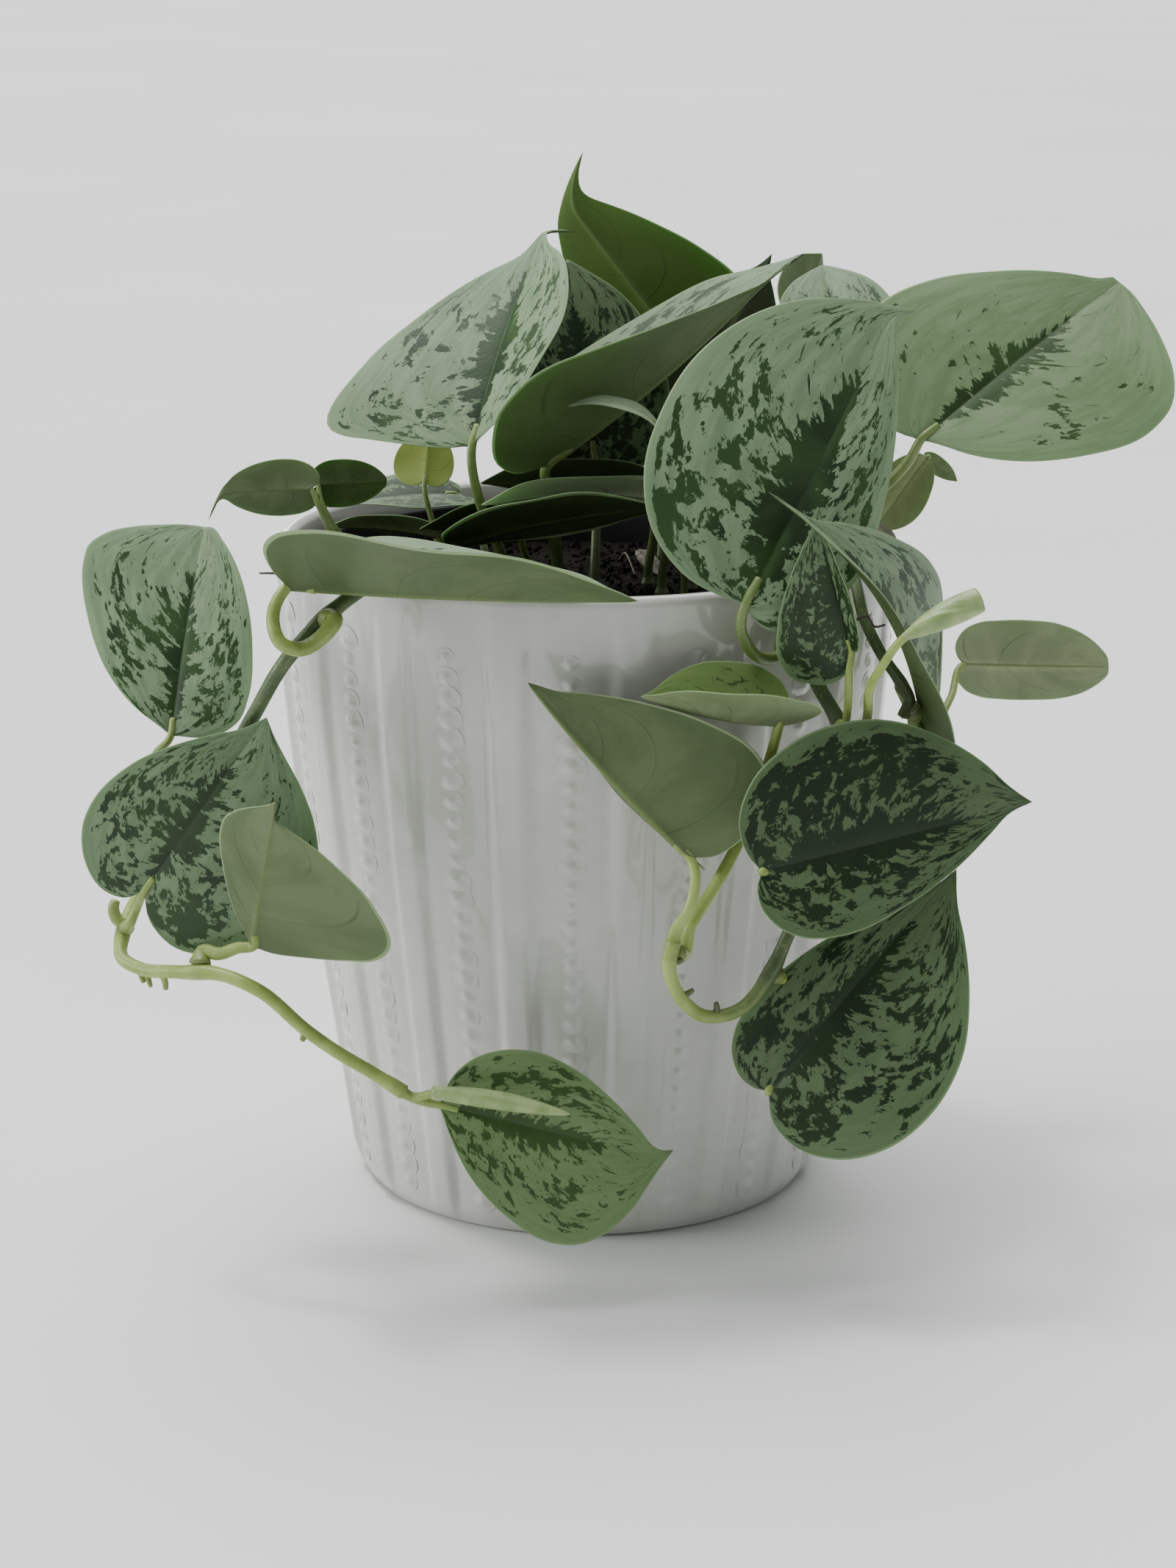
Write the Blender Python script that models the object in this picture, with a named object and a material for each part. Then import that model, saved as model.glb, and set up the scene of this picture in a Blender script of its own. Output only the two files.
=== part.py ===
# Satin pothos with silver-marked leaves, in a white glazed pot with ribs.
# Metres, +Z up. The origin is the centre of the pot's flat base, and the front faces -Y.

import bmesh
import bpy
import numpy as np
from math import cos, pi, radians, sin

# Tables and sizes below are in millimetres, and MM turns them into metres.
MM = 0.001
GAP = 0.3

# Outer pot of glazed ceramic: its rim is 165 mm across.
POT_HEIGHT = 177.0
POT_BASE_RADIUS = 61.9
POT_RIM_RADIUS = 82.5
POT_BULGE = 2.3
POT_WALL = 4.5
POT_FLOOR = 5.0
POT_ROUND = 2.0
POT_LIP = 4.0
RIB_COUNT = 16
RIB_START = 8.65
RIB_HEIGHT = 1.0
RIB_HALF_ANGLE = 2.6
PANEL_HEIGHT = 0.5

# Thin plastic nursery pot that stands inside, and the potting soil in it.
NURSERY_BASE_RADIUS = 54.0
NURSERY_RIM_RADIUS = 75.6
NURSERY_BASE_Z = POT_FLOOR + GAP
NURSERY_RIM_Z = 171.5
NURSERY_WALL = 1.2
SOIL_TOP = 160.0

# Leaves and stems.
BLADE_THICKNESS = 0.8
BLADE_ROWS = 8
SMALL_BLADE_ROWS = 6
SMALL_LEAF = 34.0
LARGE_LEAF = 70.0
PETIOLE_RADIUS = 0.8
PETIOLE_RADIUS_SHARE = 0.0125
PETIOLE_TAPER = 0.6
ROLLED_PETIOLE_RADIUS = 1.3
FOOT_LEAD = 3.0
PETIOLE_REACH = 0.08

# Each vine: its radius and the points that it passes through.
VINES = {
    "vine_left": {
        "radius": 2.0,
        "points": [
            (-20, -28), (-28, -38, 174), (-38, -50, 179.8), (-48, -62, 180.2),
            (-56, -72, 177), (-64.5, -80, 171.5), (-73.5, -86, 162.5), (-82.5, -82, 147), (-91.5, -74, 130.5),
            (-104, -66, 111), (-113.5, -70, 97.5), (-117, -77, 90), (-117, -83, 85), (-112, -88, 83.5),
            (-102, -94, 84.5), (-90.5, -99, 85.5), (-80.5, -103, 82.5), (-68.5, -105, 72.5),
            (-62, -106, 68), (-52.5, -106, 62), (-45, -106, 57),
        ],
    },
    "vine_right": {
        "radius": 2.0,
        "points": [
            (38, -38), (44, -47, 174), (49, -56, 179.7), (53, -65, 178.5),
            (54, -72, 165), (57.5, -74, 154.5), (63.5, -79, 143.5), (64.5, -86, 128.5), (57, -94, 110),
            (50, -99, 95.5), (46, -102, 87.5), (37, -107, 78.5), (29.5, -109, 78), (23, -111, 84), (20.5, -111, 91),
            (21.5, -110.5, 98),
        ],
    },
    "vine_right_short": {
        "radius": 1.7,
        "points": [
            (46, -30), (54, -39, 174), (61, -46, 179.9), (67, -54, 178),
            (70, -63, 168), (74, -67, 160), (80, -68, 151), (81.5, -68, 147.5), (80, -68, 143.5),
        ],
    },
}

# Each leaf. base, tip: ends of the midrib. face: the way the upper side looks.
# wide: half widths as shares of the length, left and right of the midrib seen from above, tip up.
# widest: where a half is widest. lobe: how far it reaches behind the base.
# full: blunter toward the tip. wedge: tapers to the base instead of a lobe. drip: length of the fine tip.
# fold, bend: angle at which a half leaves the midrib, and how much it turns to its margin.
# arch, sway: rise and sideways bow of the midrib. hook, hook_side: turn of the last part.
# petiole: its points from the foot to the base. on: the vine that carries it, else the soil.
# One number in place of a pair holds for both halves.
LEAVES = {
    "leaf_crown_left": {
        "base": (-29.5, -20, 204), "tip": (-10, 28, 256.5), "face": (-0.25, -0.8, 0.5),
        "wide": (0.545, 0.29), "widest": (0.0, 0.52), "lobe": (0.03, 0.04), "full": (-0.1, 0.7),
        "wedge": (0, 0.9), "fold": (4, 35), "bend": (-8, -10), "drip": 0.12, "hook": -0.05,
        "hook_side": -0.03, "petiole": [(-20, -10), (-23, -14, 176), (-28, -18.5, 190)],
    },
    "leaf_crown_back": {
        "base": (28, 42, 218.5), "tip": (-10, 40, 267), "face": (0.1, 0.95, 0.2),
        "wide": (0.38, 0.35), "widest": 0.08, "fold": (15, 15), "bend": (-10, -10), "arch": 0.0,
        "drip": 0.18, "hook_side": 0.18, "hook_from": 0.82, "petiole": [(21, 30), (27, 38, 195)],
    },
    "leaf_crown_folded": {
        "base": (-9.5, -22, 199.5), "tip": (56, 10, 252), "face": (-0.69, 0.1, 0.72),
        "wide": (0.36, 0.33), "widest": (0.3, 0.0), "lobe": (0.0, 0.14), "full": (1.0, -0.4),
        "wedge": (0.7, 0), "fold": (35, 40), "bend": (0, 0), "arch": -0.03, "drip": 0.1,
        "hook": -0.03, "petiole": [(-7, -5), (-8.5, -8, 180), (-9.5, -12, 190)],
    },
    "leaf_crown_shaded": {
        "base": (26.5, 18, 206.5), "tip": (50, 22, 248.5), "face": (0.2, 0.9, 0.3),
        "wide": (0.4, 0.36), "petiole": [(28.5, 6), (27, 14, 189)],
    },
    "leaf_crown_centre": {
        "base": (2.5, 12, 195), "tip": (-5, 30, 246), "face": (0.0, -0.9, 0.4), "wide": (0.4, 0.41),
        "full": (0.4, 0.8), "petiole": [(2.5, 8), (3, 14, 181)],
    },
    "leaf_curled_strip": {
        "base": (18.5, -25, 210), "tip": (-4.5, -30, 216), "face": (0.2, -0.3, 1.0), "wide": 0.07,
        "full": 0.5, "arch": 0.16, "petiole": [(26, -20), (24.5, -22, 190), (21.5, -24, 204)],
    },
    "leaf_front_right": {
        "base": (39, -88.5, 177), "tip": (78.5, -44, 245.5), "face": (0.2, -0.88, 0.38),
        "wide": (0.45, 0.235), "widest": (0.38, 0.25), "lobe": (0.02, 0.03), "full": (0.9, 0.1),
        "fold": (10, 5), "bend": (-15, -10), "drip": 0.05, "hook": -0.02, "hook_side": -0.06,
        "hook_from": 0.9,
        "petiole": [(53.5, -71, 164.5), (48.5, -75, 162), (43.5, -82, 162), (40, -87, 166), (38, -88.5, 171.5)],
        "on": "vine_right",
    },
    "leaf_tucked_dark": {
        "base": (65, -90.5, 166), "tip": (56, -92, 202), "face": (-0.4, -0.9, 0.1),
        "wide": (0.47, 0.2), "widest": (0.0, 0.3), "lobe": (0.2, 0.0), "fold": (20, 50), "bend": (0, -15),
        "petiole": [(63.5, -79, 141.5), (64, -86, 146), (64.5, -90, 153), (64.5, -91, 161)],
        "on": "vine_right",
    },
    "leaf_drooping": {
        "base": (86.5, -60, 136.5), "tip": (43.5, -108, 208.5), "face": (0.8, -0.15, 0.55),
        "wide": (0.2, 0.36), "widest": (0.1, 0.02), "lobe": (0.05, 0.1), "full": (0, -0.3),
        "fold": (20, 30), "arch": 0.09, "drip": 0.14, "petiole": [(80.9, -68, 146), (83, -64, 141.5)],
        "on": "vine_right_short",
    },
    "leaf_right_pale": {
        "base": (100, -20, 145.5), "tip": (141, -2, 140.5), "face": (0.1, 0.95, -0.3),
        "wide": (0.2, 0.27), "lobe": 0.05, "full": 1.4, "fold": (10, 10),
        "petiole": [(80, -68, 151), (83, -56, 142), (89, -44, 133.5), (96, -29, 139)],
        "on": "vine_right_short",
    },
    "leaf_right_large": {
        "base": (86.5, -28, 207), "tip": (141.5, 10, 242.5), "face": (0.05, -0.85, 0.5),
        "wide": (0.45, 0.49), "widest": (0.2, 0.66), "lobe": (0.06, 0.0), "full": (0.0, 0.9),
        "wedge": (0, 0.8), "fold": (10, 10), "drip": 0.0,
        "petiole": [(65.5, -6), (75.5, -23, 191), (84, -27.5, 202)],
    },
    "leaf_back_right": {
        "base": (71, 35, 216), "tip": (66, 60, 240.5), "face": (0.0, -0.6, 0.8),
        "wide": (0.48, 0.5), "full": 1.0, "petiole": [(53, 26), (65, 32, 196)],
    },
    "leaf_back_far": {
        "base": (60.5, 62, 224), "tip": (67, 78, 241.5), "face": (0.0, 0.8, 0.6),
        "wide": (0.5, 0.5), "full": 0.8, "petiole": [(45.5, 40), (57.5, 54, 200.5)],
    },
    "leaf_right_olive": {
        "base": (90, -8, 198.5), "tip": (75.5, -20, 181.5), "face": (0.3, 0.8, 0.3),
        "wide": (0.3, 0.3), "widest": 0.5, "full": 0.8, "wedge": 0.6,
        "petiole": [(64, 8), (81, 0, 190)],
    },
    "leaf_right_tiny": {
        "base": (91, 6, 196), "tip": (99.5, 4, 190), "face": (0.1, 0.9, 0.2), "wide": 0.25,
        "full": 0.8, "petiole": [(60.5, 16), (80, 12, 187.5)],
    },
    "leaf_withered": {
        "base": (76, -24, 184), "tip": (80.5, -30, 176.5), "face": (0.8, -0.4, 0.4), "wide": 0.5,
        "full": 0.8, "petiole": [(58, -14), (65, -18, 177), (72, -22, 183.5)],
    },
    "leaf_left_small": {
        "base": (-72.5, -12, 191), "tip": (-98.5, -20, 191), "face": (0.0, 0.95, 0.0),
        "wide": (0.3, 0.26), "full": (0.9, 0.7), "drip": 0.14, "hook_side": -0.25,
        "hook_from": 0.82, "petiole": [(-54, -14), (-67.5, -14, 181), (-70.5, -13, 187.5)],
    },
    "leaf_left_round": {
        "base": (-71, -3, 190.5), "tip": (-53, 2, 190.5), "face": (0.0, 0.95, 0.0),
        "wide": (0.36, 0.34), "full": 1.0, "drip": 0.0,
        "petiole": [(-52.5, -4), (-67, -6, 180), (-70, -5, 186)],
    },
    "leaf_rim_long": {
        "base": (-73, -82, 180), "tip": (12.5, -100, 180.5), "face": (0.0, 0.24, 0.97),
        "wide": (0.36, 0.38), "widest": (0.3, 0.15), "lobe": (0.0, 0.03), "full": (0.5, 0.7),
        "fold": (26, 30), "bend": (0, -15), "arch": -0.01,
        "petiole": [(-66, -81, 170), (-70, -89.5, 166), (-74, -90.5, 167.5), (-76.5, -87, 173), (-75, -83.5, 178)],
        "on": "vine_left",
    },
    "leaf_left_upper": {
        "base": (-105, -64, 137.5), "tip": (-97.5, -40, 186.5), "face": (-0.15, -0.95, 0.3),
        "wide": (0.54, 0.35), "widest": (0.78, 0.2), "lobe": 0.0, "full": (1.2, 0.8),
        "wedge": (0.85, 0), "fold": (8, 12), "drip": 0.0,
        "petiole": [(-104, -66, 111), (-110.5, -62, 120.5), (-109.5, -62, 131.5)],
        "on": "vine_left",
    },
    "leaf_left_middle": {
        "base": (-110.5, -84, 102.5), "tip": (-78.5, -88, 148.5), "face": (-0.1, -0.95, 0.25),
        "wide": (0.42, 0.6), "widest": (0.22, 0.5), "lobe": (0.12, 0.13), "full": (0.1, 0.8),
        "fold": (8, 8), "petiole": [(-116.5, -77, 91), (-113.5, -80, 96)], "on": "vine_left",
    },
    "leaf_left_pale": {
        "base": (-82.5, -98, 92.5), "tip": (-73.5, -126, 137.5), "face": (0.0, 0.78, 0.62),
        "wide": (0.62, 0.22), "widest": (0.06, 0.8), "lobe": (0.05, 0.0), "full": (-0.6, 1),
        "wedge": (0, 1), "fold": (5, 10),
        "petiole": [(-97.5, -96, 85), (-91, -95.8, 89.8), (-86, -97, 91.8)], "on": "vine_left",
    },
    "leaf_vine_end": {
        "base": (-36.5, -104, 53), "tip": (21.5, -100, 37), "face": (0.0, -0.95, 0.25),
        "wide": (0.31, 0.45), "widest": (0.33, 0.62), "lobe": 0.0, "full": (0.1, 0.9),
        "wedge": (0.4, 1.0), "fold": (8, 8), "hook_side": 0.04, "hook_from": 0.9,
        "petiole": [(-42, -106, 55.5), (-39, -105, 54)], "on": "vine_left",
    },
    "leaf_hanging_pale": {
        "base": (25.5, -105, 117.5), "tip": (-14, -95, 159), "face": (0.1, 0.95, 0.1),
        "wide": (0.51, 0.33), "widest": 0.12, "lobe": 0.09, "full": 0.15, "fold": (14, 75), "bend": (0, -15),
        "sway": -0.035, "petiole": [(21, -111, 93), (22, -115, 99), (25.5, -112, 107)],
        "on": "vine_right",
    },
    "leaf_hanging_dark": {
        "base": (43, -112, 116), "tip": (112, -78, 124), "face": (0.05, -0.95, 0.22),
        "wide": (0.4, 0.255), "widest": (0.38, 0.2), "lobe": (0.05, 0.04), "full": (0.4, -0.2),
        "fold": (8, 14), "petiole": [(51, -98, 98.5), (46.5, -105, 106.5)], "on": "vine_right",
    },
    "leaf_hanging_low": {
        "base": (45.5, -106, 57.5), "tip": (92.5, -88, 109.5), "face": (-0.2, -0.9, 0.3),
        "wide": (0.24, 0.48), "widest": (0.2, 0.33), "lobe": (0.03, 0.09), "full": (-0.1, 0.3),
        "fold": (14, 8), "petiole": [(44, -103, 85.5), (48.5, -97, 74.5), (48.5, -99, 63.5)],
        "on": "vine_right",
    },
    "leaf_young_edge": {
        "base": (47.5, -93, 148), "tip": (13.5, -95, 155.5), "face": (0.0, -0.05, 1.0),
        "wide": (0.42, 0.45), "widest": (0.2, 0.4), "lobe": (0.26, 0.05), "full": 0.4,
        "fold": (54, 55), "bend": (-20, -10), "arch": -0.04,
        "petiole": [(22, -110, 88), (26.5, -104.5, 96.5), (30, -101.5, 104), (37, -97, 117.5), (45, -93, 138)],
        "on": "vine_right",
    },
    "leaf_inner_front": {
        "base": (-35.5, -22, 178), "tip": (20.5, -38, 191), "face": (0.0, 0.68, 0.73),
        "wide": (0.12, 0.38), "widest": 0.6, "full": 0.8, "wedge": 0.6, "fold": 5,
        "petiole": [(-30.5, -10), (-37, -18, 172.5)],
    },
    "leaf_inner_strip": {
        "base": (21, -10, 188.5), "tip": (-27, -26, 189.5), "face": (0.0, 0.5, 0.85),
        "wide": (0.34, 0.15), "widest": 0.5, "full": 1.2, "wedge": 0.5, "fold": 5,
        "petiole": [(20.5, 0), (22.5, -5, 181)],
    },
    "leaf_inner_dark": {
        "base": (-19, 2, 177), "tip": (-43.5, -18, 181.5), "face": (0.0, 0.68, 0.73),
        "wide": (0.5, 0.2), "full": 0.4, "petiole": [(-15, 10), (-16.5, 6, 170.5)],
    },
    "leaf_inner_left": {
        "base": (-36, 35, 180.5), "tip": (-67.5, 20, 180), "face": (0.0, -0.2, 1.0),
        "wide": (0.4, 0.4), "petiole": [(-27.5, 30), (-32, 36, 174.5)],
    },
    "leaf_inner_low": {
        "base": (-39.5, -2, 176.5), "tip": (-69, 2, 178), "face": (0.0, 0.6, 0.7),
        "wide": (0.22, 0.1), "full": 0.8, "petiole": [(-35, 4), (-36.5, 0, 172)],
    },
    "leaf_inner_yellow": {
        "base": (-43.5, 14, 184), "tip": (-44, 22, 197.5), "face": (0.1, 0.9, 0.2), "wide": 0.42,
        "full": 0.6, "petiole": [(-38, 8), (-41, 11, 176)],
    },
    "leaf_inner_back": {
        "base": (17.5, 3, 185.5), "tip": (-28, -1, 190.5), "face": (0.0, 0.6, 0.7), "wide": (0.3, 0.2),
        "full": 0.8, "petiole": [(17, 12), (18.5, 9, 176)],
    },
}

# Young leaves that are still rolled: a tapered roll on its stalk.
ROLLED_LEAVES = {
    "leaf_rolled_right": {
        "base": (77.5, -99, 171.5), "tip": (95.5, -92, 179), "radii": (1.5, 2.5), "on": "vine_right",
        "petiole": [(64.5, -84, 132), (68, -86, 140), (69.5, -87.5, 149), (69.5, -91, 156), (72, -97, 163.5)],
    },
    "leaf_rolled_left": {
        "base": (-36.5, -109, 58), "tip": (-4, -116, 55), "radii": (2.4, 0.6), "on": "vine_left",
        "petiole": [(-47, -106, 58), (-42, -109, 59.5)],
    },
}


def clear_scene():
    for item in list(bpy.data.objects):
        bpy.data.objects.remove(item)


def material(name, color, roughness):
    made = bpy.data.materials.new(name)
    made.use_nodes = True
    shader = made.node_tree.nodes["Principled BSDF"]
    shader.inputs["Base Color"].default_value = (*color, 1.0)
    shader.inputs["Roughness"].default_value = roughness
    shader.inputs["Metallic"].default_value = 0.0
    return made


def glaze():
    return material("white_glaze", (0.80, 0.80, 0.78), 0.15)


def nursery_plastic():
    return material("dark_plastic", (0.02, 0.02, 0.02), 0.5)


def potting_soil():
    return material("potting_soil", (0.035, 0.025, 0.02), 0.95)


def silver_leaf():
    return material("silver_leaf", (0.36, 0.47, 0.36), 0.45)


def green_stem():
    return material("green_stem", (0.14, 0.20, 0.06), 0.45)


def pair(value):
    """A value for the left and the right half."""
    return value if isinstance(value, tuple) else (value, value)


def add_object(name, mesh, surface):
    made = bpy.data.objects.new(name, mesh)
    bpy.context.scene.collection.objects.link(made)
    if surface is not None:
        mesh.materials.append(surface)
    return made


def mesh_from(name, build):
    """A mesh from a bmesh with its faces turned outward."""
    bmesh.ops.recalc_face_normals(build, faces=build.faces)
    mesh = bpy.data.meshes.new(name)
    build.to_mesh(mesh)
    build.free()
    mesh.shade_smooth()
    mesh.set_sharp_from_angle(angle=radians(40))
    return mesh


def smooth_path(points, steps):
    """Points along a smooth curve through the given points, with no swing where spans differ in length."""
    given = np.array(points, float)
    spans = np.diff(given, axis=0)
    lengths = np.linalg.norm(spans, axis=1)[:, None]
    slopes = spans / lengths
    before, after = lengths[:-1], lengths[1:]
    inner = (slopes[:-1] * after + slopes[1:] * before) / (before + after)
    tangents = np.vstack([slopes[:1], inner, slopes[-1:]])
    path = []
    for start in range(len(spans)):
        leave = tangents[start] * lengths[start]
        arrive = tangents[start + 1] * lengths[start]
        for step in range(steps):
            t = step / steps
            path.append(given[start] * (2 * t ** 3 - 3 * t ** 2 + 1) + leave * (t ** 3 - 2 * t ** 2 + t)
                        + given[start + 1] * (3 * t ** 2 - 2 * t ** 3) + arrive * (t ** 3 - t ** 2))
    path.append(given[-1])
    return np.array(path)


def tube_mesh(name, path, radii, sides_level):
    """A closed round tube along a path, with a radius for each of its points."""
    curve = bpy.data.curves.new(name, "CURVE")
    curve.dimensions = "3D"
    curve.bevel_depth = MM
    curve.bevel_resolution = sides_level
    curve.use_fill_caps = True
    spline = curve.splines.new("POLY")
    spline.points.add(len(path) - 1)
    for point, place, radius in zip(spline.points, path, radii):
        point.co = (*(place * MM), 1.0)
        point.radius = radius
    guide = bpy.data.objects.new(name, curve)
    bpy.context.scene.collection.objects.link(guide)
    shape = guide.evaluated_get(bpy.context.evaluated_depsgraph_get())
    build = bmesh.new()
    build.from_mesh(shape.to_mesh())
    shape.to_mesh_clear()
    bpy.data.objects.remove(guide)
    bmesh.ops.remove_doubles(build, verts=build.verts, dist=0.000001)
    return mesh_from(name, build)


def turned(name, profile, angles, relief, surface):
    """A body turned about Z from its (radius, height) profile, which starts and ends on the axis."""
    build = bmesh.new()
    start = build.verts.new((0, 0, profile[0][1] * MM))
    end = build.verts.new((0, 0, profile[-1][1] * MM))
    rings = []
    for radius, height in profile[1:-1]:
        ring = []
        for angle in angles:
            reach = (radius + relief(radius, angle, height)) * MM
            ring.append(build.verts.new((reach * sin(angle), -reach * cos(angle), height * MM)))
        rings.append(ring)
    count = len(angles)
    for side in range(count):
        after = (side + 1) % count
        build.faces.new((start, rings[0][after], rings[0][side]))
        build.faces.new((end, rings[-1][side], rings[-1][after]))
        for low, high in zip(rings, rings[1:]):
            build.faces.new((low[side], low[after], high[after], high[side]))
    return add_object(name, mesh_from(name, build), surface)


def pot_radius(height):
    share = height / POT_HEIGHT
    return POT_BASE_RADIUS + (POT_RIM_RADIUS - POT_BASE_RADIUS) * share + POT_BULGE * sin(pi * share ** 1.4)


def pot_relief(radius, angle, height):
    """Height of the ribs and of the gently rounded panels between them, on the outer wall only."""
    if radius < pot_radius(height) - 0.01 or height < POT_ROUND or height > POT_HEIGHT - POT_LIP:
        return 0.0
    sector = 2 * pi / RIB_COUNT
    turn = ((angle - radians(RIB_START)) / sector + 0.5) % 1.0 - 0.5
    half = radians(RIB_HALF_ANGLE) / sector
    fade = min(1.0, 0.5 + (POT_HEIGHT - POT_LIP - height) / 40)
    if abs(turn) <= half + 0.001:
        return RIB_HEIGHT * fade
    across = (abs(turn) - half) / (0.5 - half)
    return PANEL_HEIGHT * fade * sin(pi / 2 * across)


def pot():
    inner_rim = pot_radius(POT_HEIGHT) - POT_WALL
    profile = [(0, 0), (POT_BASE_RADIUS - POT_ROUND / 2, 0)]
    for height in (POT_ROUND, 60, 115, 150, POT_HEIGHT - POT_LIP - 1):
        profile.append((pot_radius(height), height))
    profile.append((POT_RIM_RADIUS - 0.5, POT_HEIGHT - 2))
    profile.append((POT_RIM_RADIUS - 2, POT_HEIGHT))
    profile.append((inner_rim + 1, POT_HEIGHT))
    for height in (POT_HEIGHT - 2, 110, POT_FLOOR):
        profile.append((pot_radius(height) - POT_WALL, height))
    profile.append((0, POT_FLOOR))
    sector = 2 * pi / RIB_COUNT
    half = radians(RIB_HALF_ANGLE)
    angles = []
    for rib in range(RIB_COUNT):
        middle = radians(RIB_START) + rib * sector
        angles += [middle - half, middle + half, middle + half + radians(2), middle + sector / 2,
                   middle + sector - half - radians(2)]
    turned("pot", profile, angles, pot_relief, glaze())


def nursery_pot():
    rise = NURSERY_RIM_Z - NURSERY_BASE_Z
    slope = (NURSERY_RIM_RADIUS - NURSERY_BASE_RADIUS) / rise
    inside = NURSERY_BASE_RADIUS - NURSERY_WALL
    profile = [
        (0, NURSERY_BASE_Z),
        (NURSERY_BASE_RADIUS, NURSERY_BASE_Z),
        (NURSERY_RIM_RADIUS, NURSERY_RIM_Z),
        (NURSERY_RIM_RADIUS - NURSERY_WALL, NURSERY_RIM_Z),
        (inside + slope * NURSERY_WALL, NURSERY_BASE_Z + NURSERY_WALL),
        (0, NURSERY_BASE_Z + NURSERY_WALL),
    ]
    turned("nursery_pot", profile, even_angles(48), no_relief, nursery_plastic())


def soil():
    slope = (NURSERY_RIM_RADIUS - NURSERY_BASE_RADIUS) / (NURSERY_RIM_Z - NURSERY_BASE_Z)
    low = NURSERY_BASE_Z + NURSERY_WALL + GAP
    inside = NURSERY_BASE_RADIUS - NURSERY_WALL - GAP
    profile = [
        (0, low),
        (inside + slope * (low - NURSERY_BASE_Z), low),
        (inside + slope * (SOIL_TOP - NURSERY_BASE_Z), SOIL_TOP),
        (0, SOIL_TOP),
    ]
    turned("soil", profile, even_angles(48), no_relief, potting_soil())


def even_angles(count):
    return [2 * pi * index / count for index in range(count)]


def no_relief(radius, angle, height):
    return 0.0


def soil_foot(place):
    """A foot just above the soil, and the point straight above it."""
    foot = np.array([*place, SOIL_TOP + GAP], float)
    return foot, foot + (0, 0, FOOT_LEAD)


def vine_path(name):
    points = VINES[name]["points"]
    return smooth_path([*soil_foot(points[0]), *points[1:]], 2)


def vine(name, surface):
    path = vine_path(name)
    radii = [VINES[name]["radius"]] * len(path)
    add_object(name, tube_mesh(name, path, radii, 2), surface)


def half_outline(count, wide, widest, lobe, full, wedge, drip):
    """One half's margin from the base to the tip, as shares of the leaf's length."""
    reach = widest + lobe
    round_back = [(-0.72 * lobe, 0.14), (-lobe, 0.39), (0.17 * reach - lobe, 0.72), (0.52 * reach - lobe, 0.93)]
    plain_back = [(0.06 * widest, 0.12), (0.14 * widest, 0.28), (0.32 * widest, 0.56), (0.64 * widest, 0.85)]
    points = [(0.0, 0.0)]
    for (along, out), (plain_along, plain_out) in zip(round_back, plain_back):
        points.append((along + (plain_along - along) * wedge, out + (plain_out - out) * wedge))
    points.append((widest, 1.0))
    for share, slim, blunt in ((0.31, 0.886, 0.965), (0.58, 0.614, 0.82), (0.81, 0.295, 0.56), (0.93, 0.11, 0.33)):
        points.append((widest + share * (1 - widest), slim + (blunt - slim) * full))
    points = [(along * (1 - drip) if along > 0 else along, out) for along, out in points]
    points += [(1 - 0.75 * drip, 0.035 + 0.1 * full), (1.0, 0.0)]
    curve = smooth_path([(along, out * wide) for along, out in points], 8)
    length = np.concatenate([[0], np.cumsum(np.linalg.norm(np.diff(curve, axis=0), axis=1))])
    wanted = np.linspace(0, length[-1], count)
    return np.column_stack([np.interp(wanted, length, curve[:, 0]),
                            np.maximum(np.interp(wanted, length, curve[:, 1]), 0)])


def leaf_point(leaf, along, across):
    """Place in millimetres of a point of the blade, given as shares of its length."""
    base = np.array(leaf["base"], float)
    span = np.array(leaf["tip"], float) - base
    length = np.linalg.norm(span)
    ahead = span / length
    face = np.array(leaf["face"], float)
    up = face - ahead * (face @ ahead)
    up /= np.linalg.norm(up)
    left = np.cross(up, ahead)
    side = 0 if across >= 0 else 1
    wide = pair(leaf.get("wide"))[side]
    fold = radians(pair(leaf.get("fold", 12))[side])
    bend = radians(pair(leaf.get("bend", -15))[side])
    if abs(bend) < 0.001:
        bend = 0.001
    share = abs(across) / wide
    out = wide / bend * (sin(fold + bend * share) - sin(fold))
    rise = wide / bend * (cos(fold) - cos(fold + bend * share))
    hook_from = leaf.get("hook_from", 0.78)
    turn = min(max((along - hook_from) / (1 - hook_from), 0), 1) ** 2
    bow = 4 * along * (1 - along)
    rise += leaf.get("arch", 0.04) * bow + leaf.get("hook", 0) * turn
    aside = (out if side == 0 else -out) + leaf.get("sway", 0) * bow + leaf.get("hook_side", 0) * turn
    rise += 0.01 * sin(9 * along) * share ** 2
    return base + length * (ahead * along + left * aside + up * rise)


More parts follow.
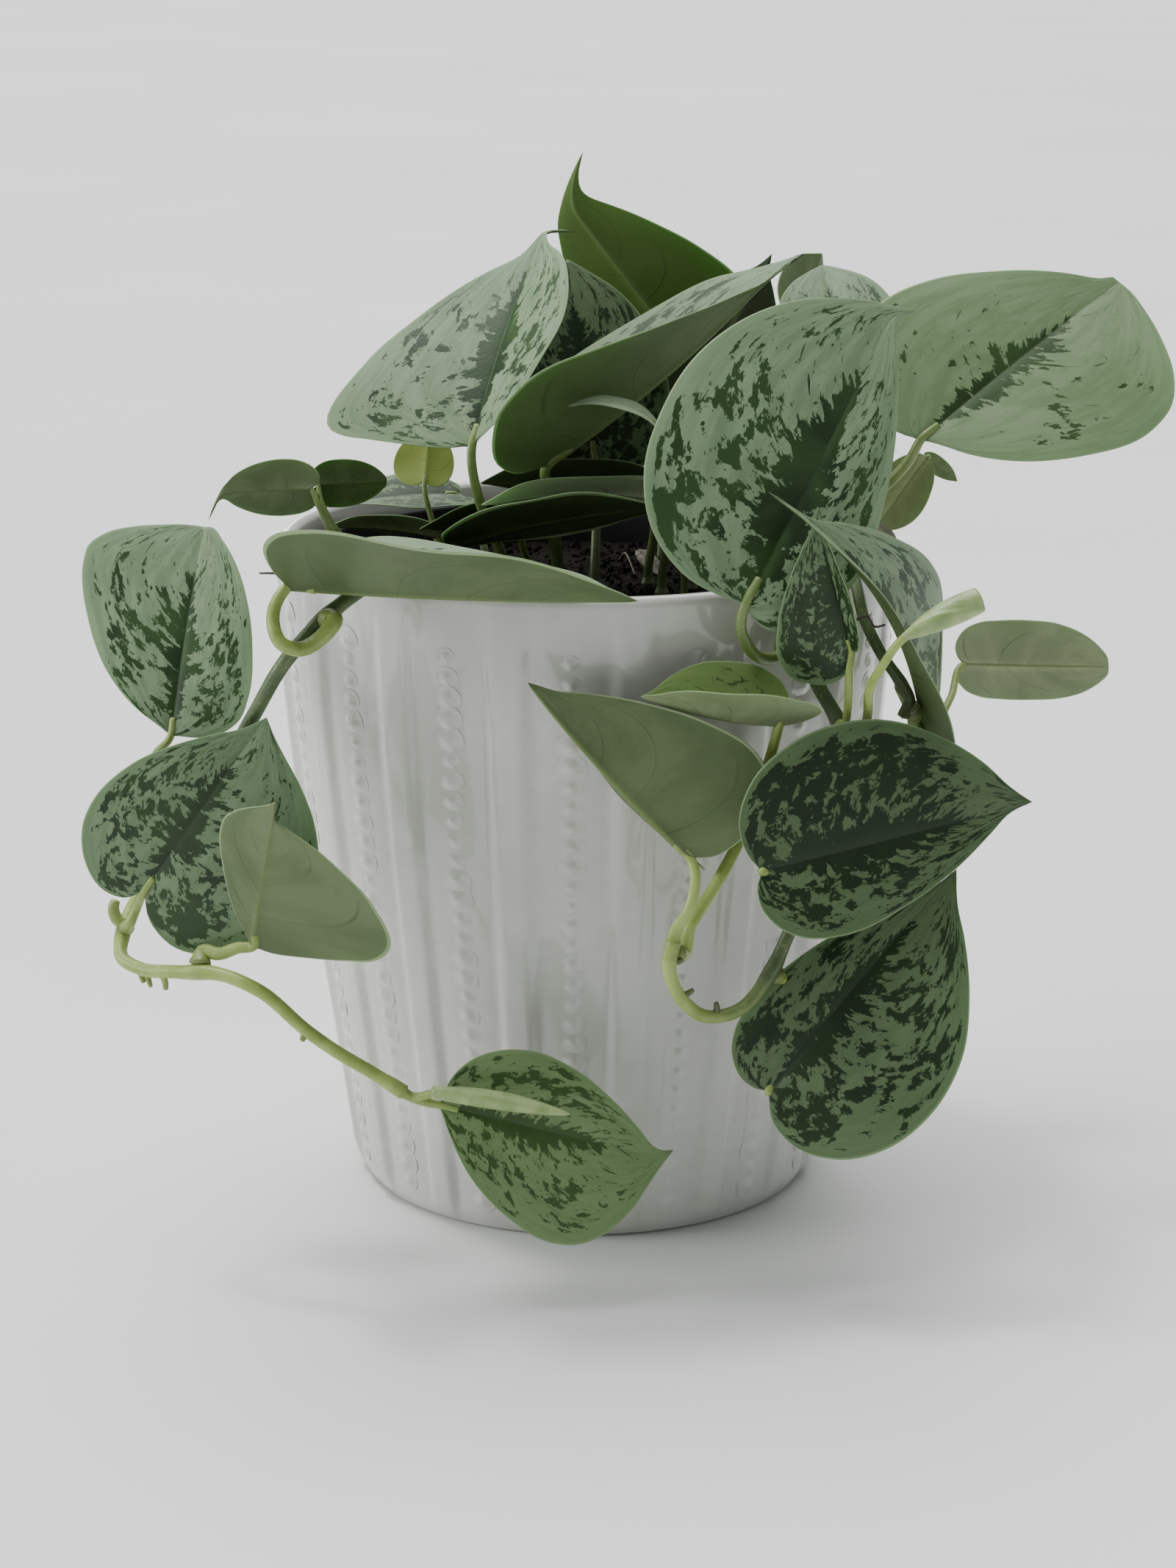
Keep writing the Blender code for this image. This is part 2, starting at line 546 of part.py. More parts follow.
def blade_mesh(name, leaf, rows, columns):
    """The blade's middle surface: rows of points from one margin over the midrib to the other."""
    halves = []
    for side in (0, 1):
        shape = {key: pair(leaf.get(key, usual))[side] for key, usual in (
            ("wide", 0.42), ("widest", 0.28), ("lobe", 0.10), ("full", 0.0), ("wedge", 0.0), ("drip", 0.05))}
        halves.append(half_outline(rows + 1, **shape))
    build = bmesh.new()
    base = build.verts.new(leaf_point(leaf, 0, 0) * MM)
    tip = build.verts.new(leaf_point(leaf, 1, 0) * MM)
    lines = []
    for row in range(1, rows):
        middle = (row / rows) ** 1.2
        line = []
        for column in range(-columns, columns + 1):
            side = 0 if column >= 0 else 1
            along, out = halves[side][row]
            share = abs(column) / columns
            across = out * share * (1 if side == 0 else -1)
            line.append(build.verts.new(leaf_point(leaf, middle + (along - middle) * share, across) * MM))
        lines.append(line)
    for column in range(2 * columns):
        build.faces.new((base, lines[0][column], lines[0][column + 1]))
        build.faces.new((tip, lines[-1][column + 1], lines[-1][column]))
        for near, far in zip(lines, lines[1:]):
            build.faces.new((near[column], far[column], far[column + 1], near[column + 1]))
    mesh = bpy.data.meshes.new(name)
    build.to_mesh(mesh)
    build.free()
    return mesh


def foot_points(leaf):
    """Foot of a petiole and the point it first rises to, on the soil or on its vine."""
    first = leaf["petiole"][0]
    if "on" not in leaf:
        return soil_foot(first)
    path = vine_path(leaf["on"])
    radius = VINES[leaf["on"]]["radius"]
    nearest = int(np.argmin(np.linalg.norm(path - first, axis=1)))
    nearest = min(max(nearest, 1), len(path) - 2)
    ahead = path[nearest + 1] - path[nearest - 1]
    ahead /= np.linalg.norm(ahead)
    way = np.array((leaf["petiole"][1:] + [leaf["base"]])[0], float) - path[nearest]
    way -= ahead * (way @ ahead)
    way /= np.linalg.norm(way)
    foot = path[nearest] + way * (radius + GAP)
    return foot, foot + way * FOOT_LEAD


def petiole_path(leaf):
    """From the foot to just inside the blade: along its midrib, or straight on where it folds back."""
    foot, lead = foot_points(leaf)
    points = [foot, lead, *leaf["petiole"][1:], np.array(leaf["base"], float)]
    arrive = points[-1] - np.array(points[-2], float)
    arrive /= np.linalg.norm(arrive)
    inside = leaf_point(leaf, PETIOLE_REACH, 0)
    if (inside - points[-1]) @ arrive < 0:
        inside = points[-1] + arrive
    return smooth_path([*points, inside], 2)


def leaf_solid(name, leaf, surface):
    """A blade of even thickness grown together with its petiole."""
    length = float(np.linalg.norm(np.array(leaf["tip"], float) - np.array(leaf["base"], float)))
    rows = SMALL_BLADE_ROWS if length < SMALL_LEAF else BLADE_ROWS
    columns = 3 if length > LARGE_LEAF else 2
    blade = add_object(name, blade_mesh(name, leaf, rows, columns), surface)
    thicken = blade.modifiers.new("thickness", "SOLIDIFY")
    thicken.thickness = BLADE_THICKNESS * MM
    thicken.offset = 0
    thicken.use_even_offset = True
    path = petiole_path(leaf)
    radius = PETIOLE_RADIUS + PETIOLE_RADIUS_SHARE * length
    radii = np.linspace(radius, radius * PETIOLE_TAPER, len(path))
    petiole = add_object(name + "_petiole", tube_mesh(name + "_petiole", path, radii, 1), surface)
    petiole.hide_render = True
    petiole.display_type = "WIRE"
    join = blade.modifiers.new("petiole", "BOOLEAN")
    join.operation = "UNION"
    join.solver = "EXACT"
    join.object = petiole


def rolled_leaf(name, leaf, surface):
    """A leaf still rolled up, in one run with its stalk."""
    foot, lead = foot_points(leaf)
    base = np.array(leaf["base"], float)
    tip = np.array(leaf["tip"], float)
    stalk = smooth_path([foot, lead, *leaf["petiole"][1:], base], 2)
    roll = [base + (tip - base) * share for share in (0.35, 0.7, 1.0)]
    stalk_radii = [ROLLED_PETIOLE_RADIUS] * (len(stalk) - 1) + [leaf["radii"][0]]
    first, last = leaf["radii"]
    roll_radii = [first + (last - first) * share for share in (0.35, 0.7, 1.0)]
    add_object(name, tube_mesh(name, np.vstack([stalk, roll]), stalk_radii + roll_radii, 2), surface)


def build_plant():
    stem = green_stem()
    foliage = silver_leaf()
    for name in VINES:
        vine(name, stem)
    for name, leaf in LEAVES.items():
        leaf_solid(name, leaf, foliage)
    for name, leaf in ROLLED_LEAVES.items():
        rolled_leaf(name, leaf, stem)


def main():
    clear_scene()
    pot()
    nursery_pot()
    soil()
    build_plant()


main()
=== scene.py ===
# Satin pothos with silver-marked leaves in a white glazed pot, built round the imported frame.
import bpy
import numpy as np
from math import cos, exp, pi, radians, sin
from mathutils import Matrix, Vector


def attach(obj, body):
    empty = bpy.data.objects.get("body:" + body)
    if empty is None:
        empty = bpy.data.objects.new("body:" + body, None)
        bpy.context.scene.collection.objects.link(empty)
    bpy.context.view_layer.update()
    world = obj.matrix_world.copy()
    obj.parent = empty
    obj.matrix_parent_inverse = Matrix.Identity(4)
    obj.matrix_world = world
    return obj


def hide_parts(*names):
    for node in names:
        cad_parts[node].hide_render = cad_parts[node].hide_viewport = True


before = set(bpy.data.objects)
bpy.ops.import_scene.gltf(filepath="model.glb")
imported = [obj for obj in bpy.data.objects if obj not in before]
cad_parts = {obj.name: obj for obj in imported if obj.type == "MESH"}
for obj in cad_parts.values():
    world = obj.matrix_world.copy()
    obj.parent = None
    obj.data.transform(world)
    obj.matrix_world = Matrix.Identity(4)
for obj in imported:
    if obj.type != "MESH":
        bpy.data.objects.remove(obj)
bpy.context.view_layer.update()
print("frame loaded:", len(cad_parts), "nodes")

mm = 0.001       # the tables below are in millimetres
footGap = 0.3    # petioles and vines stop this far from what they grow from


# Node trees, in shaders and in Geometry Nodes. Sums and products of Values add Math nodes.

class Value:
    def __init__(self, tree, socket):
        self.tree, self.socket = tree, socket

    def math(self, operation, *others, clamp=False):
        return mathNode(self.tree, operation, self, *others, clamp=clamp)

    def __add__(self, other):
        return self.math("ADD", other)

    def __sub__(self, other):
        return self.math("SUBTRACT", other)

    def __rsub__(self, other):
        return mathNode(self.tree, "SUBTRACT", other, self)

    def __mul__(self, other):
        return self.math("MULTIPLY", other)

    def __truediv__(self, other):
        return self.math("DIVIDE", other)

    def __rtruediv__(self, other):
        return mathNode(self.tree, "DIVIDE", other, self)

    def __pow__(self, other):
        return self.math("POWER", other)

    __radd__, __rmul__ = __add__, __mul__


def feed(tree, sockets, values):
    for socket, value in zip(sockets, values):
        if isinstance(value, Value):
            tree.links.new(value.socket, socket)
        else:
            socket.default_value = (*value, 1.0) if isinstance(value, tuple) else value


def nodeOf(tree, kind, inputs, output=0, **settings):
    node = tree.nodes.new(kind)
    for key, value in settings.items():
        setattr(node, key, value)
    feed(tree, [node.inputs[key] for key in inputs], inputs.values())
    return Value(tree, node.outputs[output])


def mathNode(tree, operation, *values, clamp=False):
    return nodeOf(tree, "ShaderNodeMath", dict(enumerate(values)), operation=operation, use_clamp=clamp)


def joined(tree, x, y, z):
    return nodeOf(tree, "ShaderNodeCombineXYZ", {"X": x, "Y": y, "Z": z})


def partsOf(value):
    node = value.tree.nodes.new("ShaderNodeSeparateXYZ")
    feed(value.tree, node.inputs, [value])
    return [Value(value.tree, socket) for socket in node.outputs]


def noiseOf(place, scale, detail=3.0, roughness=0.55, distortion=0.0):
    return nodeOf(place.tree, "ShaderNodeTexNoise", {"Vector": place, "Scale": scale, "Detail": detail,
                                                     "Roughness": roughness, "Distortion": distortion})


def softStep(value, low, high, toLow=0.0, toHigh=1.0):
    ends = {"From Min": low, "From Max": high, "To Min": toLow, "To Max": toHigh}
    return nodeOf(value.tree, "ShaderNodeMapRange", {"Value": value, **ends}, interpolation_type="SMOOTHSTEP")


def blended(share, first, second):
    return nodeOf(share.tree, "ShaderNodeMix", {0: share, 6: first, 7: second}, output=2, data_type="RGBA")


def attributeOf(tree, name):
    return nodeOf(tree, "ShaderNodeAttribute", {}, output="Fac", attribute_name=name)


# Surfaces. Living tissue lets a little light through.

tissue = {"Subsurface_Radius": (0.3, 0.9, 0.15), "Subsurface_Scale": 0.0015}
evenSplit = (0.35, 0.65)


def newSurface(name, **fixed):
    surface = bpy.data.materials.new(name)
    surface.use_nodes = True
    shader = surface.node_tree.nodes["Principled BSDF"]
    for socket, value in fixed.items():
        shader.inputs[socket.replace("_", " ")].default_value = value
    return surface, shader, nodeOf(surface.node_tree, "ShaderNodeTexCoord", {}, output="Object")


def dress(shader, colour, height, strength, distance, roughness=None):
    tree = colour.tree
    bump = nodeOf(tree, "ShaderNodeBump", {"Height": height, "Strength": strength, "Distance": distance})
    feed(tree, [shader.inputs["Base Color"], shader.inputs["Normal"]], [colour, bump])
    if roughness:
        feed(tree, [shader.inputs["Roughness"]], [roughness])


def patchySurface(name, grain, split, colours, relief, strength, distance, **fixed):
    # two colours in soft patches, over a noise bump
    surface, shader, place = newSurface(name, **fixed)
    share = softStep(noiseOf(place, *grain), *split)
    dress(shader, blended(share, *colours), noiseOf(place, *relief), strength, distance)
    return surface


# Meshes.

def sceneObject(name, data):
    made = bpy.data.objects.new(name, data)
    bpy.context.scene.collection.objects.link(made)
    return made


def meshObject(name, points, faces, surfaces, surfaceOf=None):
    mesh = bpy.data.meshes.new(name)
    mesh.from_pydata((np.asarray(points, float) * mm).tolist(), [], faces)
    for surface in surfaces:
        mesh.materials.append(surface)
    if surfaceOf is not None:
        mesh.polygons.foreach_set("material_index", np.asarray(surfaceOf, np.int32))
    mesh.shade_smooth()
    return sceneObject(name, mesh)


def placed(piece, node=None):
    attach(piece, "root")
    if node:
        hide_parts(node)


def unit(vector):
    return vector / np.linalg.norm(vector)


def ringQuads(count, sides, start=0):
    quads = []
    for near in range(start, start + (count - 1) * sides, sides):
        far = near + sides
        quads += [(near + a, near + (a + 1) % sides, far + (a + 1) % sides, far + a) for a in range(sides)]
    return quads


def ringFaces(count, sides):
    # rings of points, closed by a pole at each end: the last two points
    first, last, far = count * sides, count * sides + 1, (count - 1) * sides
    return (ringQuads(count, sides) + [(first, (a + 1) % sides, a) for a in range(sides)]
            + [(last, far + a, far + (a + 1) % sides) for a in range(sides)])


def moved(faces, start):
    return [tuple(corner + start for corner in face) for face in faces]


def circleTurns(count):
    return np.arange(count) * 2 * pi / count


def turnedObject(name, profile, count, surface):
    turn = circleTurns(count)
    around = np.column_stack([np.sin(turn), -np.cos(turn), np.zeros(count)])
    points = [around * radius + (0, 0, height) for radius, height in profile[1:-1]]
    points += [[[0, 0, profile[0][1]]], [[0, 0, profile[-1][1]]]]
    return meshObject(name, np.vstack(points), ringFaces(len(profile) - 2, count), [surface])


# Geometry Nodes trees: made with named inputs, applied once, then taken off.

def newTree(name, floats, **others):
    tree = bpy.data.node_groups.new(name, "GeometryNodeTree")
    kinds = {"Geometry": "Geometry", **dict.fromkeys(floats, "Float"), **others, "surface": "Material"}
    for label, kind in kinds.items():
        tree.interface.new_socket(label, in_out="INPUT", socket_type="NodeSocket" + kind)
    tree.interface.new_socket("Geometry", in_out="OUTPUT", socket_type="NodeSocketGeometry")
    given = {socket.name: Value(tree, socket) for socket in tree.nodes.new("NodeGroupInput").outputs}
    return tree, given


def closeTree(geometry, given):
    tree = geometry.tree
    plain = nodeOf(tree, "GeometryNodeRealizeInstances", {0: geometry})
    painted = nodeOf(tree, "GeometryNodeSetMaterial", {"Geometry": plain, "Material": given["surface"]})
    tree.links.new(painted.socket, tree.nodes.new("NodeGroupOutput").inputs[0])
    return tree


def applyTree(piece, tree, **values):
    modifier = piece.modifiers.new(tree.name, "NODES")
    modifier.node_group = tree
    for item in tree.interface.items_tree:
        if item.in_out == "INPUT" and item.name in values:
            value = values[item.name]
            modifier[item.identifier] = float(value) if item.socket_type == "NodeSocketFloat" else value
    shape = piece.evaluated_get(bpy.context.evaluated_depsgraph_get())
    plain = bpy.data.meshes.new_from_object(shape)
    piece.modifiers.remove(modifier)
    old = piece.data
    piece.data = plain
    plain.name = piece.name
    bpy.data.meshes.remove(old)


def randomSize(tree, smallest, largest, seed):
    return nodeOf(tree, "FunctionNodeRandomValue", {2: smallest, 3: largest, "Seed": seed}, output=1,
                  data_type="FLOAT")


# Pot: turned wall, ribs and panels by one tree, columns of beads by another. Angles in degrees.

potShape = {
    "height": 177.0, "baseRadius": 61.9, "rimRadius": 82.5, "bulge": 2.3, "wall": 4.5, "floor": 5.0,
    "ribCount": 16, "ribStart": 8.65, "ribHalfAngle": 2.6, "ribHeight": 1.9, "panelHeight": 0.7,
    "edgeSoftness": 1.5, "fadeLow": 9.0, "fadeHigh": 30.0, "plainTop": 4.0, "angles": 432, "heights": 84,
}
beadShape = {
    "columns": 16, "rows": 29, "start": -2.6, "lowest": 9.0, "spacing": 5.4, "radius": 3.8, "rise": 1.0,
    "steepness": 1.9, "sink": 0.10, "smallest": 0.62, "largest": 1.08, "seed": 3,
}
wallInputs = ("height", "baseRadius", "rimRadius", "bulge", "fadeLow", "fadeHigh", "plainTop")
bulgePower = 1.4


def potRadius(height):
    share = height / potShape["height"]
    straight = potShape["baseRadius"] + (potShape["rimRadius"] - potShape["baseRadius"]) * share
    return straight + potShape["bulge"] * np.sin(pi * np.clip(share, 0, 1) ** bulgePower)


def wallAndFade(given, tall):
    # the plain wall's radius at a height, and the share of the relief that stands there
    share = tall.math("DIVIDE", given["height"], clamp=True)
    straight = given["baseRadius"] + (given["rimRadius"] - given["baseRadius"]) * share
    wall = straight + (share ** bulgePower * pi).math("SINE") * given["bulge"]
    below = tall.math("DIVIDE", given["fadeLow"], clamp=True)
    left = given["height"] - given["plainTop"] - tall
    above = left.math("DIVIDE", given["fadeHigh"], clamp=True)
    return wall, below.math("SMOOTH_MIN", 1.0, 0.2) * above ** 0.6


def reliefTree():
    tree, given = newTree("potRelief", (*wallInputs, "ribCount", "ribStart", "ribHalfAngle", "ribHeight",
                                        "panelHeight", "edgeSoftness"))
    x, y, z = partsOf(nodeOf(tree, "GeometryNodeInputPosition", {}))
    radius = (x * x + y * y).math("SQRT") * 1000.0
    tall = z * 1000.0
    turn = x.math("ARCTAN2", y * -1.0) * (180 / pi)
    sector = 360.0 / given["ribCount"]
    part = ((turn - given["ribStart"]) / sector + 40.5).math("FRACT") - 0.5
    away = part.math("ABSOLUTE") * sector                      # degrees from the nearest rib
    outer = away - given["ribHalfAngle"]
    past = (outer / given["edgeSoftness"]).math("MAXIMUM", 0.0)
    onRib = (1.0 - past.math("SMOOTH_MIN", 1.0, 0.3)).math("MAXIMUM", 0.0)
    across = outer.math("MAXIMUM", 0.0) / (sector / 2.0 - given["ribHalfAngle"])
    panel = (across * (pi / 2)).math("SINE") * given["panelHeight"]
    wall, fade = wallAndFade(given, tall)
    outside = radius.math("GREATER_THAN", wall - 0.3)
    push = (onRib * given["ribHeight"] + panel) * fade * (outside * mm)
    flat = (x * x + (y * y + 1e-9)).math("SQRT")
    move = joined(tree, x / flat * push, y / flat * push, 0.0)
    shift = nodeOf(tree, "GeometryNodeSetPosition", {"Geometry": given["Geometry"], "Offset": move})
    return closeTree(shift, given)


def beadTree():
    tree, given = newTree("potBeads", (*wallInputs, "columns", "rows", "start", "lowest", "spacing", "lift",
                                       "smallest", "largest"), seed="Int")
    index = nodeOf(tree, "GeometryNodeInputIndex", {})
    column = ((index + 0.5) / given["rows"]).math("FLOOR")
    row = index - column * given["rows"]
    turn = (given["start"] + column * (360.0 / given["columns"])).math("RADIANS")
    tall = given["lowest"] + row * given["spacing"]
    wall, fade = wallAndFade(given, tall)
    reach = (wall + given["lift"] * fade) * mm
    side, ahead = turn.math("SINE"), turn.math("COSINE") * -1.0
    place = joined(tree, side * reach, ahead * reach, tall * mm)
    slope = (given["rimRadius"] - given["baseRadius"]) / given["height"]
    turned = nodeOf(tree, "FunctionNodeAlignRotationToVector",
                    {"Vector": joined(tree, side, ahead, slope * -1.0)}, axis="Z")
    count = given["columns"] * given["rows"]
    points = nodeOf(tree, "GeometryNodePoints", {"Count": count, "Position": place})
    size = randomSize(tree, given["smallest"], given["largest"], given["seed"])
    spread = nodeOf(tree, "GeometryNodeInstanceOnPoints",
                    {"Points": points, "Instance": given["Geometry"], "Rotation": turned, "Scale": size})
    return closeTree(spread, given)


def potGlaze():
    surface, shader, place = newSurface("whiteGlaze", Coat_Weight=0.25, Coat_Roughness=0.05)
    tint = noiseOf(place, 22.0)
    share = softStep(tint * 0.8 + noiseOf(place, 260.0, 2.0) * 0.2, *evenSplit)
    wave = noiseOf(place, 90.0, 2.0) + noiseOf(place, 700.0, 1.0) * 0.05
    # the two tones differ at random; both are greyer than white glaze, as painted shade over the whole pot
    dress(shader, blended(share, (0.480, 0.482, 0.440), (0.560, 0.565, 0.525)), wave, 0.22, 0.0012,
          softStep(tint, 0.3, 0.7, 0.10, 0.17))
    return surface


def rounded(centre, radius, start, end, steps):
    turn = np.radians(np.linspace(start, end, steps))
    return [(centre[0] + radius * cos(a), centre[1] + radius * sin(a)) for a in turn]


def potProfile():
    tall, wall, base = potShape["height"], potShape["wall"], potShape["baseRadius"]
    top = potRadius(tall)
    profile = [(0, 0), (20, 0), (45, 0), (base - 4, 0)]
    profile += rounded((base - 2.4, 2.0), 2.0, -90, -8, 6)
    for height in np.linspace(3.2, tall - 3.4, potShape["heights"]):
        profile.append((float(potRadius(height)), float(height)))
    profile += rounded((top - wall / 2, tall - wall / 2), wall / 2, 20, 165, 11)
    for height in (tall - 6, tall - 20, 110, 60, 14):
        profile.append((float(potRadius(height)) - wall, height))
    return profile + [(radius, potShape["floor"]) for radius in (base - wall - 2, 30, 0)]


def beadObject(glaze):
    # one low, soft bead with a flat underside
    rings, sides = (0.2, 0.4, 0.6, 0.8, 1.0), 12
    turn = circleTurns(sides)
    points = [[[0, 0, beadShape["rise"]]]]
    for ring in rings:
        slope = exp(-(beadShape["steepness"] * ring) ** 2)
        rise = beadShape["rise"] * slope - beadShape["sink"] * ring ** 2
        reach = ring * beadShape["radius"]
        points.append(np.column_stack([reach * np.cos(turn), reach * np.sin(turn), np.full(sides, rise)]))
    faces = [(0, 1 + side, 1 + (side + 1) % sides) for side in range(sides)]
    faces += [(face[0], *face[:0:-1]) for face in ringQuads(len(rings), sides, 1)]
    faces.append(tuple(reversed(range(1 + (len(rings) - 1) * sides, 1 + len(rings) * sides))))
    return meshObject("potBeads", np.vstack(points), faces, [glaze])


def buildPot():
    glaze = potGlaze()
    body = turnedObject("glazedPot", potProfile(), potShape["angles"], glaze)
    applyTree(body, reliefTree(), surface=glaze, **potShape)
    body.data.shade_smooth()
    beads = beadObject(glaze)
    applyTree(beads, beadTree(), surface=glaze, lift=potShape["panelHeight"], **{**potShape, **beadShape})
    beads.data.shade_smooth()
    beads.data.set_sharp_from_angle(angle=radians(50))
    placed(body, "pot")
    placed(beads)


buildPot()
print("pot made")


# Nursery pot and potting soil.

nurseryShape = {"baseRadius": 54.0, "rimRadius": 75.6, "base": 5.3, "rim": 171.5, "wall": 1.2, "sides": 144}
soilShape = {
    "top": 160.0, "mean": 159.4, "bottom": 6.8, "edge": 72.3, "foot": 52.9, "rings": 46, "angles": 120,
}
crumbShapes = {
    "soilCrumbs": {"density": 120000.0, "smallest": 0.35, "largest": 1.6, "seed": 4,
                   "stretch": (1.5, 1.0, 0.8)},
    "perliteCrumbs": {"density": 1300.0, "smallest": 0.5, "largest": 1.3, "seed": 9,
                      "stretch": (1.1, 1.0, 0.9)},
}


def nurseryPlastic():
    surface, shader, place = newSurface("nurseryPlastic", Specular_IOR_Level=0.2)
    dust = softStep(noiseOf(place, 60.0, 4.0), 0.52, 0.75)
    dress(shader, blended(dust, (0.006, 0.006, 0.0065), (0.022, 0.019, 0.016)), noiseOf(place, 900.0, 2.0),
          0.15, 0.0003, softStep(noiseOf(place, 35.0), 0.3, 0.7, 0.45, 0.7))
    return surface


# The soil's own dark colours, darkened further almost to black as painted shade under the leaves; the soil
# crumbs share them.
def soilSurface():
    surface, shader, place = newSurface("pottingSoil", Roughness=0.95, Specular_IOR_Level=0.08)
    damp = softStep(noiseOf(place, 70.0, 5.0, 0.65), *evenSplit)
    bark = softStep(noiseOf(place, 420.0), 0.56, 0.68)
    base = blended(damp, (0.002, 0.0017, 0.0014), (0.007, 0.0055, 0.004))
    dress(shader, blended(bark, base, (0.018, 0.013, 0.009)), noiseOf(place, 800.0, 4.0, 0.7), 0.7, 0.001)
    return surface


def scatterTree(name):
    tree, given = newTree(name, ("density", "smallest", "largest"), crumb="Object", seed="Int")
    points = nodeOf(tree, "GeometryNodeDistributePointsOnFaces",
                    {"Mesh": given["Geometry"], "Density": given["density"], "Seed": given["seed"]})
    crumb = nodeOf(tree, "GeometryNodeObjectInfo", {"Object": given["crumb"]}, output="Geometry")
    turn = nodeOf(tree, "FunctionNodeRandomValue", {1: [6.28] * 3, "Seed": given["seed"]},
                  data_type="FLOAT_VECTOR")
    size = randomSize(tree, given["smallest"], given["largest"], given["seed"])
    return closeTree(nodeOf(tree, "GeometryNodeInstanceOnPoints",
                            {"Points": points, "Instance": crumb, "Rotation": turn, "Scale": size}), given)


def crumbObject(name, stretch, surface):
    corners = np.array([[1, 1, 1], [1, -1, -1], [-1, 1, -1], [-1, -1, 1], [1.5, 0, 0.2], [-1.4, 0.3, 0],
                        [0, 1.3, 0.4], [0.2, -1.5, 0], [0, 0.2, 1.4], [0.3, 0, -1.3]]) * stretch * 0.5
    piece = meshObject(name, corners, hullFaces(corners), [surface])
    piece.data.shade_flat()
    return piece


def hullFaces(corners):
    # every three corners that have all the others behind them
    count, faces = len(corners), []
    for a in range(count):
        for b in range(a + 1, count):
            for c in range(a + 1, count):
                if b != c:
                    normal = np.cross(corners[b] - corners[a], corners[c] - corners[a])
                    if ((corners - corners[a]) @ normal <= 1e-6).all():
                        faces.append((a, b, c))
    return faces


def soilHeight(x, y):
    lump = np.sin(x * 0.21 + 1.3) * np.sin(y * 0.17 + 0.4)
    lump += 0.6 * np.sin(x * 0.43 + y * 0.31) * np.sin(y * 0.53 - x * 0.2)
    lump += 0.35 * np.sin(x * 0.9 + 2.0) * np.sin(y * 1.1 + 0.7)
    dish = np.clip((np.hypot(x, y) - 55) / 17, 0, 1) ** 2
    return soilShape["mean"] + 0.45 * lump + 0.36 * dish


def nurseryProfile():
    base, rim, top, wall = (nurseryShape[key] for key in ("base", "rim", "rimRadius", "wall"))
    foot = nurseryShape["baseRadius"]
    rise = (top - foot) / (rim - base)
    outer = [(foot + rise * (height - base), height) for height in np.linspace(base + 1.5, rim - 4.5, 14)]
    lip = ((0.55, 4.0), (0.0, 3.4), (-0.1, 0.9), (0.2, 0.2), (0.7, 0.0), (1.2, 0.2), (1.45, 0.9), (1.55, 4.0))
    return ([(0, base), (30, base), (foot - 1.2, base)] + outer
            + [(top - inward, rim - down) for inward, down in lip]
            + [(radius - wall, height) for radius, height in reversed(outer)]
            + [(30, base + wall), (0, base + wall)])


def soilMesh():
    # a lumpy top of rings round a middle point, then the narrower foot ring and its middle; after the
    # whole mesh, the points and faces that crumbs may lie on
    count, rings = soilShape["angles"], soilShape["rings"]
    turn = circleTurns(count)
    points = [[[0, 0, float(soilHeight(0, 0))]]]
    for radius in np.linspace(0, soilShape["edge"], rings + 1)[1:]:
        x, y = radius * np.sin(turn), -radius * np.cos(turn)
        points.append(np.column_stack([x, y, soilHeight(x, y)]))
    foot, bottom = soilShape["foot"], soilShape["bottom"]
    points.append(np.column_stack([foot * np.sin(turn), -foot * np.cos(turn), np.full(count, bottom)]))
    points.append([[0, 0, bottom]])
    pole, footRing, faces = 1 + (rings + 1) * count, 1 + rings * count, []
    for side in range(count):
        after = (side + 1) % count
        faces.append((0, 1 + side, 1 + after))
        for near in range(1, footRing, count):
            far = near + count
            faces.append((near + side, far + side, far + after, near + after))
        faces.append((pole, footRing + after, footRing + side))
    points = np.vstack(points)
    return points, faces, points[:footRing], [face for face in faces if max(face) < footRing - count]


def buildSoil():
    liner = turnedObject("nurseryPotFine", nurseryProfile(), nurseryShape["sides"], nurseryPlastic())
    placed(liner, "nursery_pot")
    ground = soilSurface()
    # the perlite's colours are greyer than clean perlite: partly dirt, partly painted shade under the leaves
    white = patchySurface("perlite", (900.0,), evenSplit, ((0.13, 0.11, 0.085), (0.30, 0.28, 0.245)),
                          (1400.0, 2.0), 0.5, 0.0005, Roughness=0.85)
    points, faces, topPoints, topFaces = soilMesh()
    placed(meshObject("soilFine", points, faces, [ground]), "soil")
    for name, surface in (("soilCrumbs", ground), ("perliteCrumbs", white)):
        shape = crumbShapes[name]
        crumb = crumbObject(name + "Seed", np.array(shape["stretch"]), surface)
        scattered = meshObject(name, topPoints, topFaces, [surface])
        applyTree(scattered, scatterTree(name + "Tree"), crumb=crumb, surface=surface, **shape)
        bpy.data.objects.remove(crumb)
        placed(scattered)


buildSoil()
print("soil made")


# Leaf and stem surfaces.

veinTurns = 44.0


def leafFlow(tree):
    # s runs from the midrib, 0, to the margin, 1; t from base to tip; flow stays the same along one vein
    across, t = partsOf(nodeOf(tree, "ShaderNodeUVMap", {}, uv_map="leafPlace"))[:2]
    signed = across * 2.0 - 1.0
    s = signed.math("ABSOLUTE")
    flow = t * (1.0 - s * (s * 0.2 + 0.5))
    shift = signed.math("SIGN") * 3.7 + attributeOf(tree, "leafSeed")
    return s, t, flow, shift


